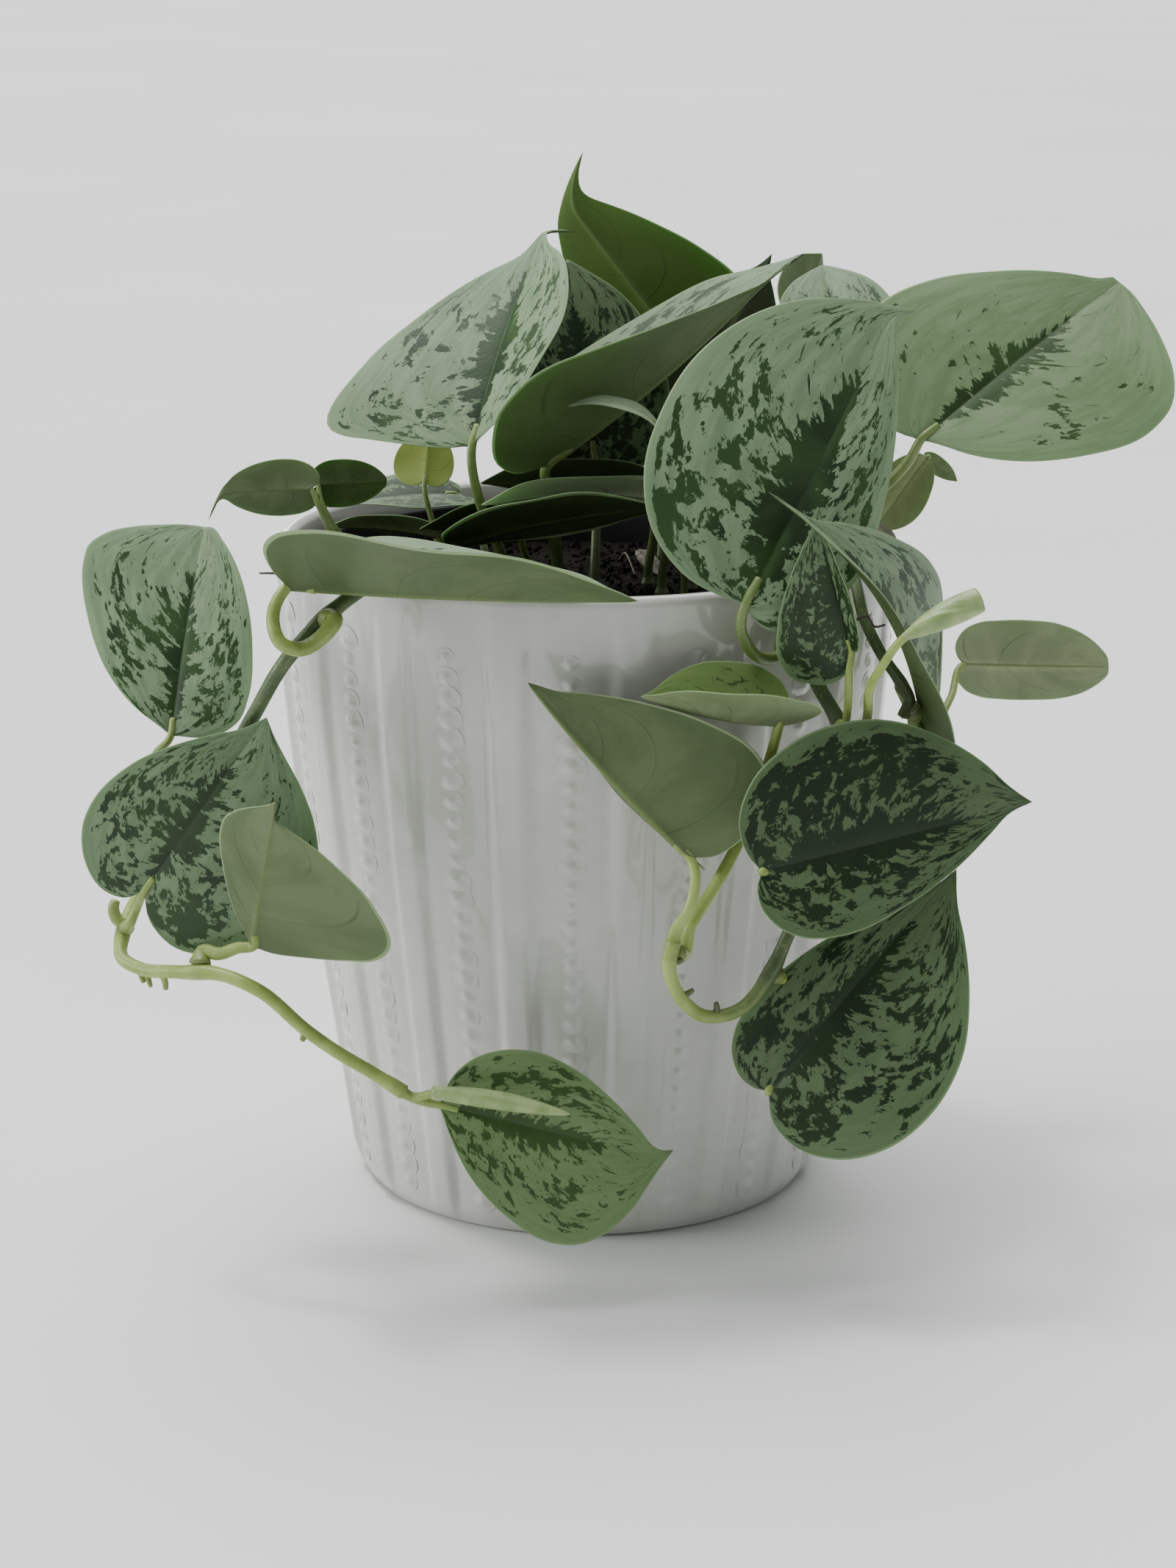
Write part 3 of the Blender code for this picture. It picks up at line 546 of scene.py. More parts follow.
def satinUpper():
    surface, shader, place = newSurface("satinLeafUpper", Subsurface_Weight=0.10, Specular_IOR_Level=0.30,
                                        **tissue)
    tree = surface.node_tree
    s, t, flow, shift = leafFlow(tree)
    shade, warm = attributeOf(tree, "leafShade"), attributeOf(tree, "leafWarm")
    onward = s * 0.5 + t

    def flecksOf(alongFlow, alongVein, offset, detail, roughness):
        spot = joined(tree, flow * alongFlow, onward * alongVein, shift + offset)
        return noiseOf(spot, 1.0, detail, roughness, 0.35) - 0.5

    coarse = flecksOf(12.0, 4.8, 0.0, 4.0, 0.65)
    fine = flecksOf(30.0, 10.5, 31.0, 5.0, 0.66)
    blots = flecksOf(3.0, 3.0, 57.0, 2.0, 0.5)
    barbs = flecksOf(30.0, 5.0, 71.0, 4.0, 0.65)
    speck = coarse * 0.50 + (fine * 1.05 + blots * 0.25)

    def fading(value):
        return mathNode(tree, "POWER", 2.718, value * -1.0)

    rise = (t + 0.10).math("DIVIDE", 0.90, clamp=True)
    swell = (rise * pi).math("SINE").math("MAXIMUM", 0.0) ** 1.1
    width = (swell * 0.13 + 0.03) * attributeOf(tree, "leafFeather")
    reach = (s - barbs * 0.60).math("MAXIMUM", 0.0)
    feather = fading((reach / width) ** 1.5) * softStep(t, 0.62, 0.84, 1.0, 0.0)
    ring = (s - 0.62) / 0.42
    band = fading(ring * ring) * softStep(t, 0.45, 0.95, 1.0, 0.25)
    value = feather * 0.55 + band * 0.15 + speck + (attributeOf(tree, "leafDark") - 0.20)
    dark = softStep(value - softStep(s, 0.92, 0.985) * 0.2, -0.014, 0.014)
    lines = softStep(flecksOf(48.0, 3.0, 83.0, 3.0, 0.5), 0.17, 0.21) * softStep(s, 0.93, 0.82)
    dark = dark.math("MAXIMUM", lines * softStep(t, 0.35, 0.5))

    mottle = noiseOf(joined(tree, flow * 9.0, s * 9.0, shift + 7.0), 1.0, 4.0, 0.65)
    silver = blended(softStep(mottle, 0.36, 0.64), (0.130, 0.195, 0.105), (0.180, 0.258, 0.148))
    silver = blended(warm, silver, (0.120, 0.195, 0.050))
    # leafBright paints light onto the silver; leafShade paints shade onto the silver and onto the dark
    # markings
    silver = blended(attributeOf(tree, "leafBright"), silver, (0.36, 0.43, 0.29))
    silver = blended(shade, silver, (0.050, 0.085, 0.028))
    green = blended(softStep(blots, -0.15, 0.12), (0.009, 0.027, 0.006), (0.022, 0.056, 0.012))
    green = blended(warm, green, (0.036, 0.078, 0.013))
    green = blended(shade, green, (0.004, 0.013, 0.002))
    colour = blended(softStep(s, 0.975, 0.995) * 0.7, blended(dark, silver, green), (0.22, 0.30, 0.16))
    veins = (flow * veinTurns).math("SINE")
    cells = noiseOf(place, 1500.0, 2.0)
    dress(shader, colour, cells * 0.5 + veins * 0.10, 0.25, 0.0005, dark * -0.06 + 0.54)
    return surface


# Underside tints: leafGlow is painted light shining through the leaf, leafBright is painted light, leafShade
# is painted shade; leafYellow is the leaf's own yellowing.
underTints = {"leafGlow": (0.085, 0.165, 0.022), "leafYellow": (0.200, 0.240, 0.035),
              "leafBright": (0.640, 0.730, 0.510), "leafShade": (0.010, 0.022, 0.004)}


def satinUnder():
    surface, shader, place = newSurface("satinLeafUnder", Roughness=0.55, Subsurface_Weight=0.15,
                                        Specular_IOR_Level=0.3, **tissue)
    tree = surface.node_tree
    s, t, flow, shift = leafFlow(tree)
    cloud = softStep(noiseOf(joined(tree, flow * 4.0, t * 4.0, shift), 1.0, 4.0, 0.6), *evenSplit)
    plain = blended(cloud, (0.045, 0.078, 0.020), (0.070, 0.112, 0.034))
    pale = blended(cloud, (0.200, 0.245, 0.130), (0.250, 0.295, 0.165))
    colour = blended(attributeOf(tree, "leafPale"), plain, pale)
    for name, tint in underTints.items():
        colour = blended(attributeOf(tree, name), colour, tint)
    arcs = ((flow * 5.0 + shift * 0.37).math("FRACT") - 0.5).math("ABSOLUTE")
    vein = softStep(arcs, 0.035, 0.0) * softStep(s, 0.96, 0.7)
    faint = softStep(noiseOf(joined(tree, t * 3.0, s, shift), 1.0), 0.4, 0.65, 0.1, 0.55)
    colour = blended(vein * faint, colour, (0.03, 0.055, 0.015))
    colour = blended(softStep(s, 0.035, 0.008) * 0.7, colour, (0.12, 0.17, 0.05))
    # pale margin, widened by leafRim: partly the margin's own colour, partly painted light
    rim = softStep(attributeOf(tree, "leafRim") * 0.1 + s, 0.965, 0.985)
    colour = blended(rim * 0.85, colour, (0.30, 0.36, 0.20))
    dress(shader, colour, noiseOf(place, 1300.0, 2.0) * 0.5 + vein * 0.6, 0.22, 0.0005)
    return surface


def stemGreen():
    surface, shader, place = newSurface("stemGreen", Roughness=0.4, Subsurface_Weight=0.15, **tissue)
    tree = surface.node_tree
    patch = softStep(noiseOf(place, 130.0), *evenSplit)
    young = blended(patch, (0.235, 0.325, 0.065), (0.330, 0.425, 0.115))
    old = blended(patch, (0.05, 0.085, 0.03), (0.085, 0.125, 0.045))
    colour = blended(attributeOf(tree, "stemAge"), young, old)
    colour = blended(softStep(noiseOf(place, 1100.0, 2.0), 0.62, 0.70) * 0.35, colour, (0.36, 0.42, 0.20))
    colour = blended(attributeOf(tree, "stemScar"), colour, (0.115, 0.095, 0.04))
    dress(shader, colour, noiseOf(place, 600.0), 0.25, 0.0006)
    return surface


# Shapes of the plant, in the frame's own axes. A vine starts where it leaves the soil.

vineShapes = {
    "vine_left": {
        "radius": 2.0,
        "points": [
            (-20, -28), (-28, -38, 174), (-38, -50, 179.8), (-48, -62, 180.2), (-56, -72, 177),
            (-64.5, -80, 171.5), (-73.5, -86, 162.5), (-82.5, -82, 147), (-91.5, -74, 130.5),
            (-104, -66, 111), (-113.5, -70, 97.5), (-117, -77, 90), (-117, -83, 85), (-112, -88, 83.5),
            (-102, -94, 84.5), (-90.5, -99, 85.5), (-80.5, -103, 82.5), (-68.5, -105, 72.5),
            (-62, -106, 68), (-52.5, -106, 62), (-45, -106, 57),
        ],
    },
    "vine_right": {
        "radius": 2.0,
        "points": [
            (38, -38), (44, -47, 174), (49, -56, 179.7), (53, -65, 178.5), (54, -72, 165), (57.5, -74, 154.5),
            (63.5, -79, 143.5), (64.5, -86, 128.5), (57, -94, 110), (50, -99, 95.5), (46, -102, 87.5),
            (37, -107, 78.5), (29.5, -109, 78), (23, -111, 84), (20.5, -111, 91), (21.5, -110.5, 98),
        ],
    },
    "vine_right_short": {
        "radius": 1.7,
        "points": [
            (46, -30), (54, -39, 174), (61, -46, 179.9), (67, -54, 178), (70, -63, 168), (74, -67, 160),
            (80, -68, 151), (81.5, -68, 147.5), (80, -68, 143.5),
        ],
    },
}

# A petiole starts in the soil, or beside the vine that on names; inLine carries on from the vine's end.
# A pair of numbers holds the left and right halves of a leaf. wide, widest, lobe, full, wedge and drip
# set its outline; fold, bend, arch, hook, hookFrom, hookSide and sway curve it. Its looks: dark, more
# dark markings; feather, width of the dark middle; warm and yellow, yellower; bright, painted light that
# makes it lighter; shade, painted shade that deepens its colours; pale, colour of the underside; glow,
# painted light shining through the underside; rim, width of its pale margin, partly its own colour and
# partly painted light; seed, of the markings; stalk, thickness of the stalk; age, of the stalk, from green
# to brown.

leafShapes = {
    "leaf_crown_left": dict(base=(-29.5, -20, 204), tip=(-10, 28, 256.5), face=(-0.25, -0.8, 0.5),
        petiole=[(-20, -10), (-23, -14, 176), (-28, -18.5, 190)], wide=(0.545, 0.29), widest=(0.0, 0.52),
        lobe=(0.03, 0.04), full=(-0.1, 0.7), wedge=(0, 0.9), fold=(4, 35), bend=(-8, -10), drip=0.12,
        hook=-0.05, hookSide=-0.10, hookFrom=0.92, dark=0.01, feather=0.9, seed=3.1),
    "leaf_crown_back": dict(base=(28, 42, 218.5), tip=(-10, 40, 267), face=(0.1, 0.95, 0.2),
        petiole=[(21, 30), (27, 38, 195)], wide=(0.38, 0.35), widest=0.08, fold=15, bend=-10, arch=0.0,
        drip=0.06, full=(0.0, 0.35), hookSide=0.20, glow=0.75, pale=0.1),
    "leaf_crown_folded": dict(base=(-9.5, -22, 199.5), tip=(56, 10, 252), face=(-0.69, 0.1, 0.72),
        petiole=[(-7, -5), (-8.5, -8, 180), (-9.5, -12, 190)], wide=(0.36, 0.33), widest=(0.3, 0.0),
        lobe=(0.0, 0.14), full=(1.0, -0.4), wedge=(0.7, 0), fold=(35, 40), bend=0, arch=-0.03, drip=0.1,
        hook=-0.03, dark=0.07, feather=0.9, glow=0.3, shade=0.15),
    "leaf_crown_shaded": dict(base=(26.5, 18, 206.5), tip=(50, 22, 248.5), face=(0.2, 0.9, 0.3),
        petiole=[(28.5, 6), (27, 14, 189)], wide=(0.4, 0.36), shade=0.75),
    "leaf_crown_centre": dict(base=(2.5, 12, 195), tip=(-5, 30, 246), face=(0.0, -0.9, 0.4),
        petiole=[(2.5, 8), (3, 14, 181)], wide=(0.4, 0.41), full=(0.4, 0.8), dark=0.08, feather=1.2,
        shade=0.7),
    "leaf_curled_strip": dict(base=(18.5, -25, 210), tip=(-4.5, -30, 216), face=(0.2, -0.3, 1.0),
        petiole=[(26, -20), (24.5, -22, 190), (21.5, -24, 204)], wide=0.16, full=0.5, arch=0.16, dark=-0.4,
        feather=0.1, pale=1.0, bright=0.4, age=0.2),
    "leaf_front_right": dict(base=(39, -88.5, 177), tip=(78.5, -44, 245.5), face=(0.2, -0.88, 0.38),
        petiole=[(53.5, -71, 164.5), (48.5, -75, 162), (43.5, -82, 162), (40, -87, 166), (38, -88.5, 171.5)],
        on="vine_right", wide=(0.45, 0.235), widest=(0.38, 0.25), lobe=(0.02, 0.03), full=(0.9, 0.1),
        fold=(10, 5), bend=(-15, -10), hook=-0.02, hookSide=-0.06, hookFrom=0.9, dark=0.03, feather=1.25,
        age=0.7),
    "leaf_tucked_dark": dict(base=(65, -90.5, 166), tip=(56, -92, 202), face=(-0.4, -0.9, 0.1),
        petiole=[(63.5, -79, 141.5), (64, -86, 146), (64.5, -90, 153), (64.5, -91, 161)], on="vine_right",
        wide=(0.47, 0.2), widest=(0.0, 0.3), lobe=(0.2, 0.0), fold=(20, 50), bend=(0, -15), dark=0.12,
        shade=0.5),
    "leaf_drooping": dict(base=(86.5, -60, 136.5), tip=(43.5, -108, 208.5), face=(0.8, -0.15, 0.55),
        petiole=[(80.9, -68, 146), (83, -64, 141.5)], on="vine_right_short", wide=(0.2, 0.36),
        widest=(0.1, 0.02), lobe=(0.05, 0.1), full=(0, -0.3), fold=(20, 30), arch=0.09, drip=0.09, dark=0.04,
        feather=0.7, glow=0.1),
    "leaf_right_pale": dict(base=(100, -20, 145.5), tip=(141, -2, 140.5), face=(0.1, 0.95, -0.3),
        petiole=[(80, -68, 151), (83, -56, 142), (89, -44, 133.5), (96, -29, 139)], on="vine_right_short",
        wide=(0.2, 0.27), lobe=0.05, full=1.6, fold=10, drip=0.0, pale=1.0),
    "leaf_right_large": dict(base=(86.5, -28, 207), tip=(141.5, 10, 242.5), face=(0.05, -0.85, 0.5),
        petiole=[(65.5, -6), (75.5, -23, 191), (84, -27.5, 202)], wide=(0.45, 0.49), widest=(0.2, 0.66),
        lobe=(0.06, 0.0), full=(0.0, 0.9), wedge=(0, 0.8), fold=10, drip=0.0, dark=-0.08, feather=0.85,
        warm=0.25),
    "leaf_back_right": dict(base=(71, 35, 216), tip=(66, 60, 240.5), face=(0.0, -0.6, 0.8),
        petiole=[(53, 26), (65, 32, 196)], wide=(0.48, 0.5), full=1.0, dark=0.02, feather=0.8),
    "leaf_back_far": dict(base=(60.5, 62, 224), tip=(67, 78, 241.5), face=(0.0, 0.8, 0.6),
        petiole=[(45.5, 40), (57.5, 54, 200.5)], wide=0.5, full=0.8, pale=0.3),
    "leaf_right_olive": dict(base=(90, -8, 198.5), tip=(75.5, -20, 181.5), face=(0.3, 0.8, 0.3),
        petiole=[(64, 8), (81, 0, 190)], wide=0.3, widest=0.5, full=0.8, wedge=0.6, pale=0.55, yellow=0.2),
    "leaf_right_tiny": dict(base=(91, 6, 196), tip=(99.5, 4, 190), face=(0.1, 0.9, 0.2),
        petiole=[(60.5, 16), (80, 12, 187.5)], wide=0.25, full=0.8, pale=0.7),
    "leaf_withered": dict(base=(76, -24, 184), tip=(80.5, -30, 176.5), face=(0.8, -0.4, 0.4),
        petiole=[(58, -14), (65, -18, 177), (72, -22, 183.5)], wide=0.5, full=0.8),
    "leaf_left_small": dict(base=(-72.5, -12, 191), tip=(-98.5, -20, 191), face=(0.0, 0.95, 0.0),
        petiole=[(-54, -14), (-67.5, -14, 181), (-70.5, -13, 187.5)], wide=(0.3, 0.26), full=(0.9, 0.7),
        drip=0.14, hookSide=-0.25, hookFrom=0.82, pale=0.5),
    "leaf_left_round": dict(base=(-71, -3, 190.5), tip=(-53, 2, 190.5), face=(0.0, 0.95, 0.0),
        petiole=[(-52.5, -4), (-67, -6, 180), (-70, -5, 186)], wide=(0.36, 0.34), full=1.0, drip=0.0,
        glow=0.2),
    "leaf_rim_long": dict(base=(-73, -82, 180), tip=(12.5, -100, 180.5), face=(0.0, 0.24, 0.97),
        petiole=[(-66, -81, 170), (-70, -89.5, 166), (-74, -90.5, 167.5), (-76.5, -87, 173),
        (-75, -83.5, 178)], on="vine_left", wide=(0.36, 0.38), widest=(0.3, 0.15), lobe=(0.0, 0.03),
        full=(0.5, 0.7), fold=(26, 30), bend=(0, -15), arch=-0.01, stalk=1.15, rim=0.3, shade=0.17),
    "leaf_left_upper": dict(base=(-105, -64, 137.5), tip=(-97.5, -40, 186.5), face=(-0.15, -0.95, 0.3),
        petiole=[(-104, -66, 111), (-110.5, -62, 120.5), (-109.5, -62, 131.5)], on="vine_left",
        wide=(0.54, 0.35), widest=(0.78, 0.2), lobe=0.0, full=(1.2, 0.8), wedge=(0.85, 0), fold=(8, 12),
        drip=0.0, dark=0.03, feather=0.75),
    "leaf_left_middle": dict(base=(-110.5, -84, 102.5), tip=(-78.5, -88, 148.5), face=(-0.1, -0.95, 0.25),
        petiole=[(-116.5, -77, 91), (-113.5, -80, 96)], on="vine_left", wide=(0.42, 0.6), widest=(0.22, 0.5),
        lobe=(0.12, 0.13), full=(0.1, 0.8), fold=8, dark=0.06, feather=0.75, shade=0.35),
    "leaf_left_pale": dict(base=(-82.5, -98, 92.5), tip=(-73.5, -126, 137.5), face=(0.0, 0.78, 0.62),
        petiole=[(-97.5, -96, 85), (-91, -95.8, 89.8), (-86, -97, 91.8)], on="vine_left", wide=(0.62, 0.22),
        widest=(0.06, 0.8), lobe=(0.05, 0.0), full=(-0.6, 1), wedge=(0, 1), fold=(5, 10), pale=0.4,
        stalk=1.35, shade=0.07),
    "leaf_vine_end": dict(base=(-36.5, -104, 53), tip=(21.5, -100, 37), face=(0.0, -0.95, 0.25),
        petiole=[(-42, -106, 55.5), (-39, -105, 54)], on="vine_left", inLine=True, wide=(0.31, 0.45),
        widest=(0.33, 0.62), lobe=0.0, full=(0.1, 0.9), wedge=(0.4, 1.0), fold=8, hookSide=0.04, hookFrom=0.9,
        dark=0.02, feather=0.8, warm=0.55),
    "leaf_hanging_pale": dict(base=(25.5, -105, 117.5), tip=(-14, -95, 159), face=(0.1, 0.95, 0.1),
        petiole=[(21, -111, 93), (25.5, -112, 107)], on="vine_right", inLine=True, wide=(0.51, 0.33),
        widest=0.12, lobe=0.09, full=0.15, fold=(14, 75), bend=(0, -15), sway=-0.035, pale=0.3, stalk=1.15,
        shade=0.16, age=0.12),
    "leaf_hanging_dark": dict(base=(43, -112, 116), tip=(112, -78, 124), face=(0.05, -0.95, 0.22),
        petiole=[(55, -95.5, 106), (49, -104, 109)], on="vine_right", wide=(0.4, 0.255), widest=(0.38, 0.2),
        lobe=(0.05, 0.04), full=(0.4, -0.2), fold=(8, 14), dark=0.11, feather=0.9, shade=0.75),
    "leaf_hanging_low": dict(base=(45.5, -106, 57.5), tip=(92.5, -88, 109.5), face=(-0.2, -0.9, 0.3),
        petiole=[(44, -103, 85.5), (48.5, -97, 74.5), (48.5, -99, 63.5)], on="vine_right", wide=(0.24, 0.48),
        widest=(0.2, 0.33), lobe=(0.03, 0.09), full=(-0.1, 0.3), fold=(14, 8), dark=0.07, feather=0.8,
        shade=0.7),
    "leaf_young_edge": dict(base=(47.5, -93, 148), tip=(13.5, -95, 155.5), face=(0.0, -0.05, 1.0),
        petiole=[(21.3, -110.4, 94.5), (25.5, -105.5, 100), (30, -101.5, 106), (37, -97, 117.5),
        (45, -93, 138)], on="vine_right", wide=(0.42, 0.45), widest=(0.2, 0.4), lobe=(0.26, 0.05), full=0.4,
        fold=(54, 55), bend=(-20, -10), arch=-0.04, dark=-0.06, feather=0.4, warm=1.0, pale=0.6, stalk=1.6,
        age=0.05),
    "leaf_inner_front": dict(base=(-35.5, -22, 178), tip=(20.5, -38, 191), face=(0.0, 0.68, 0.73),
        petiole=[(-30.5, -10), (-37, -18, 172.5)], wide=(0.12, 0.38), widest=0.6, full=0.8, wedge=0.6,
        fold=(5, -10), shade=0.6, rim=1.0),
    "leaf_inner_strip": dict(base=(21, -10, 188.5), tip=(-27, -26, 189.5), face=(0.0, 0.5, 0.85),
        petiole=[(20.5, 0), (22.5, -5, 181)], wide=(0.34, 0.15), widest=0.5, full=1.2, wedge=0.5, fold=5,
        pale=1.0, bright=1.0),
    "leaf_inner_dark": dict(base=(-19, 2, 177), tip=(-43.5, -18, 181.5), face=(0.0, 0.68, 0.73),
        petiole=[(-15, 10), (-16.5, 6, 170.5)], wide=(0.5, 0.2), full=0.4, dark=0.1, feather=1.1, shade=0.6),
    "leaf_inner_left": dict(base=(-36, 35, 180.5), tip=(-67.5, 20, 180), face=(0.0, -0.2, 1.0),
        petiole=[(-27.5, 30), (-32, 36, 174.5)], wide=0.4, dark=0.08, shade=0.6),
    "leaf_inner_low": dict(base=(-39.5, -2, 176.5), tip=(-69, 2, 178), face=(0.0, 0.6, 0.7),
        petiole=[(-35, 4), (-36.5, 0, 172)], wide=(0.22, 0.1), full=0.8),
    "leaf_inner_yellow": dict(base=(-43.5, 14, 188.5), tip=(-42, 22, 203), face=(0.1, 0.9, 0.2),
        petiole=[(-38, 8), (-41, 11, 176)], wide=(0.45, 0.55), full=0.6, glow=0.6, yellow=0.7),
    "leaf_inner_back": dict(base=(17.5, 3, 185.5), tip=(-28, -1, 190.5), face=(0.0, 0.6, 0.7),
        petiole=[(17, 12), (18.5, 9, 176)], wide=(0.3, 0.2), full=0.8, shade=0.5),
}

rolledShapes = {
    "leaf_rolled_right": dict(base=(77.5, -99, 171.5), tip=(95.5, -92, 179),
        petiole=[(64.5, -84, 132), (68, -86, 140), (69.5, -87.5, 149), (69.5, -91, 156), (72, -97, 163.5)],
        on="vine_right", radii=(2.2, 3.4)),
    "leaf_rolled_left": dict(base=(-36.5, -109, 58), tip=(-4, -116, 55), petiole=[(-47, -106, 58)],
        on="vine_left", inLine=True, radii=(2.4, 0.6)),
}


# Paths, outlines and tubes.

leafDetail = {
    "grid": (54, 14), "smallGrid": (34, 9), "smallLength": 30, "middle": 0.34, "margin": 0.10,
    "groove": 0.30, "ridge": 0.75, "ridgeWidth": 0.9, "wave": 0.006, "waveTurns": (9.0, 19.0),
    "quilt": 0.035, "footLead": 3.0, "stalkSides": 12, "stalkSteps": 7, "stalkRadius": 0.8,
    "stalkShare": 0.0125,
    "stalkTaper": 0.6, "stalkGroove": 0.18, "stalkReach": 0.08, "footFlare": 0.45, "footLength": 0.10,
}
plainOutline = {"wide": 0.42, "widest": 0.28, "lobe": 0.10, "full": 0.0, "wedge": 0.0, "drip": 0.05}
plainCurve = {"fold": 12, "bend": -15, "arch": 0.04, "hook": 0, "hookSide": 0, "hookFrom": 0.78, "sway": 0}
plainLooks = {"dark": 0.0, "feather": 1.0, "warm": 0.0, "shade": 0.0, "pale": 0.2, "glow": 0.0, "yellow": 0.0,
              "bright": 0.0, "rim": 0.0}
stalkAge = {"onVine": 0.25, "inSoil": 0.6}
domeShare = 0.35    # height of a tube's end, as a share of its radius


def bothHalves(value):
    return value if isinstance(value, tuple) else (value, value)


def pathLengths(path):
    return np.concatenate([[0], np.cumsum(np.linalg.norm(np.diff(path, axis=0), axis=1))])


def smoothPath(points, steps):
    given = np.array(points, float)
    spans = np.diff(given, axis=0)
    lengths = np.linalg.norm(spans, axis=1)[:, None]
    slopes = spans / lengths
    before, after = lengths[:-1], lengths[1:]
    inner = (slopes[:-1] * after + slopes[1:] * before) / (before + after)
    tangents = np.vstack([slopes[:1], inner, slopes[-1:]])
    t = (np.arange(steps) / steps)[:, None]
    path = []
    for start, length in enumerate(lengths):
        leave, arrive = tangents[start] * length, tangents[start + 1] * length
        path.append(given[start] * (2 * t ** 3 - 3 * t ** 2 + 1) + leave * (t ** 3 - 2 * t ** 2 + t)
                    + given[start + 1] * (3 * t ** 2 - 2 * t ** 3) + arrive * (t ** 3 - t ** 2))
    return np.vstack([*path, given[-1:]])


def soilFoot(place):
    foot = np.array([*place, soilShape["top"] + footGap], float)
    return foot, foot + (0, 0, leafDetail["footLead"])


def vinePath(name, steps=2):
    points = vineShapes[name]["points"]
    return smoothPath([*soilFoot(points[0]), *points[1:]], steps)


def footPoints(leaf):
    # where a petiole starts, and a point that leads it off
    first = leaf["petiole"][0]
    if "on" not in leaf:
        return soilFoot(first)
    path = vinePath(leaf["on"])
    if leaf.get("inLine"):
        ahead = unit(path[-1] - path[-3])
        return path[-1] - ahead, path[-1] + ahead * 1.5
    nearest = int(np.argmin(np.linalg.norm(path - first, axis=1)))
    nearest = min(max(nearest, 1), len(path) - 2)
    ahead = unit(path[nearest + 1] - path[nearest - 1])
    way = np.array((leaf["petiole"][1:] + [leaf["base"]])[0], float) - path[nearest]
    way = unit(way - ahead * (way @ ahead))
    foot = path[nearest] + way * (vineShapes[leaf["on"]]["radius"] + footGap)
    return foot, foot + way * leafDetail["footLead"]


def halfOutline(count, wide, widest, lobe, full, wedge, drip):
    # one side of a leaf as shares of its length: a heart-shaped or plain back, then a slim or blunt front
    reach = widest + lobe
    heart = ((-0.72 * lobe, 0.14), (-lobe, 0.39), (0.17 * reach - lobe, 0.72), (0.52 * reach - lobe, 0.93))
    plain = ((0.06 * widest, 0.12), (0.14 * widest, 0.28), (0.32 * widest, 0.56), (0.64 * widest, 0.85))
    front = ((0.31, 0.886, 0.965), (0.58, 0.614, 0.82), (0.81, 0.295, 0.56), (0.93, 0.11, 0.33))
    points = [(0.0, 0.0)]
    for (along, out), (plainAlong, plainOut) in zip(heart, plain):
        points.append((along + (plainAlong - along) * wedge, out + (plainOut - out) * wedge))
    points.append((widest, 1.0))
    for share, slim, blunt in front:
        points.append((widest + share * (1 - widest), slim + (blunt - slim) * full))
    points = [(along * (1 - drip) if along > 0 else along, out) for along, out in points]
    points += [(1 - 0.75 * drip, 0.035 + 0.1 * full), (1.0, 0.0)]
    curve = smoothPath([(along, out * wide) for along, out in points], 10)
    lengths = pathLengths(curve)
    wanted = np.linspace(0, lengths[-1], count)
    return np.interp(wanted, lengths, curve[:, 0]), np.maximum(np.interp(wanted, lengths, curve[:, 1]), 0)


def leafPlace(leaf, along, across):
    # points of the curved leaf, from shares of its length along and across it
    base, tip, face = (np.array(leaf[key], float) for key in ("base", "tip", "face"))
    length = np.linalg.norm(tip - base)
    ahead = (tip - base) / length
    up = unit(face - ahead * (face @ ahead))
    left = np.cross(up, ahead)
    onLeft = across >= 0
    curve = {**plainCurve, **leaf}
    wide, fold, bend = (np.where(onLeft, *bothHalves(curve[key])) for key in ("wide", "fold", "bend"))
    fold, bend = np.radians(fold), np.radians(bend)
    bend = np.where(np.abs(bend) < 0.001, 0.001, bend)
    share = np.abs(across) / wide
    out = wide / bend * (np.sin(fold + bend * share) - np.sin(fold))
    rise = wide / bend * (np.cos(fold) - np.cos(fold + bend * share))
    turn = np.clip((along - curve["hookFrom"]) / (1 - curve["hookFrom"]), 0, 1) ** 2
    bow = 4 * along * (1 - along)
    ripple = 0.01 * np.sin(9 * along) * share ** 2
    rise = rise + curve["arch"] * bow + curve["hook"] * turn + ripple
    aside = np.where(onLeft, out, -out) + curve["sway"] * bow + curve["hookSide"] * turn
    return base + length * (along[..., None] * ahead + aside[..., None] * left + rise[..., None] * up)


def gridNormals(grid):
    faces = np.cross(grid[1:, 1:] - grid[:-1, :-1], grid[:-1, 1:] - grid[1:, :-1])
    total = np.zeros(grid.shape)
    near, far = slice(None, -1), slice(1, None)
    for rows, columns in ((near, near), (far, near), (near, far), (far, far)):
        total[rows, columns] += faces
    for pole in (0, -1):
        total[pole] = total[pole].sum(axis=0)
    return total / np.linalg.norm(total, axis=2, keepdims=True)


def ringsAlong(path, radii, shape, twist=0.0):
    # rings square to a path; shape has each point's share of the radius, twist is turned over the path
    turn, tangents = circleTurns(len(shape)), np.gradient(path, axis=0)
    tangents /= np.linalg.norm(tangents, axis=1)[:, None]
    side = np.array([0.0, 0.0, 1.0] if abs(tangents[0][2]) < 0.9 else [0.0, -1.0, 0.0])
    rings = []
    for index, (place, tangent, radius) in enumerate(zip(path, tangents, radii)):
        side = unit(side - tangent * (side @ tangent))
        other = np.cross(tangent, side)
        angle = turn + twist * index / len(path)
        ring = np.outer(shape * np.cos(angle), side) + np.outer(shape * np.sin(angle), other)
        rings.append(place + radius * ring)
    return rings, tangents


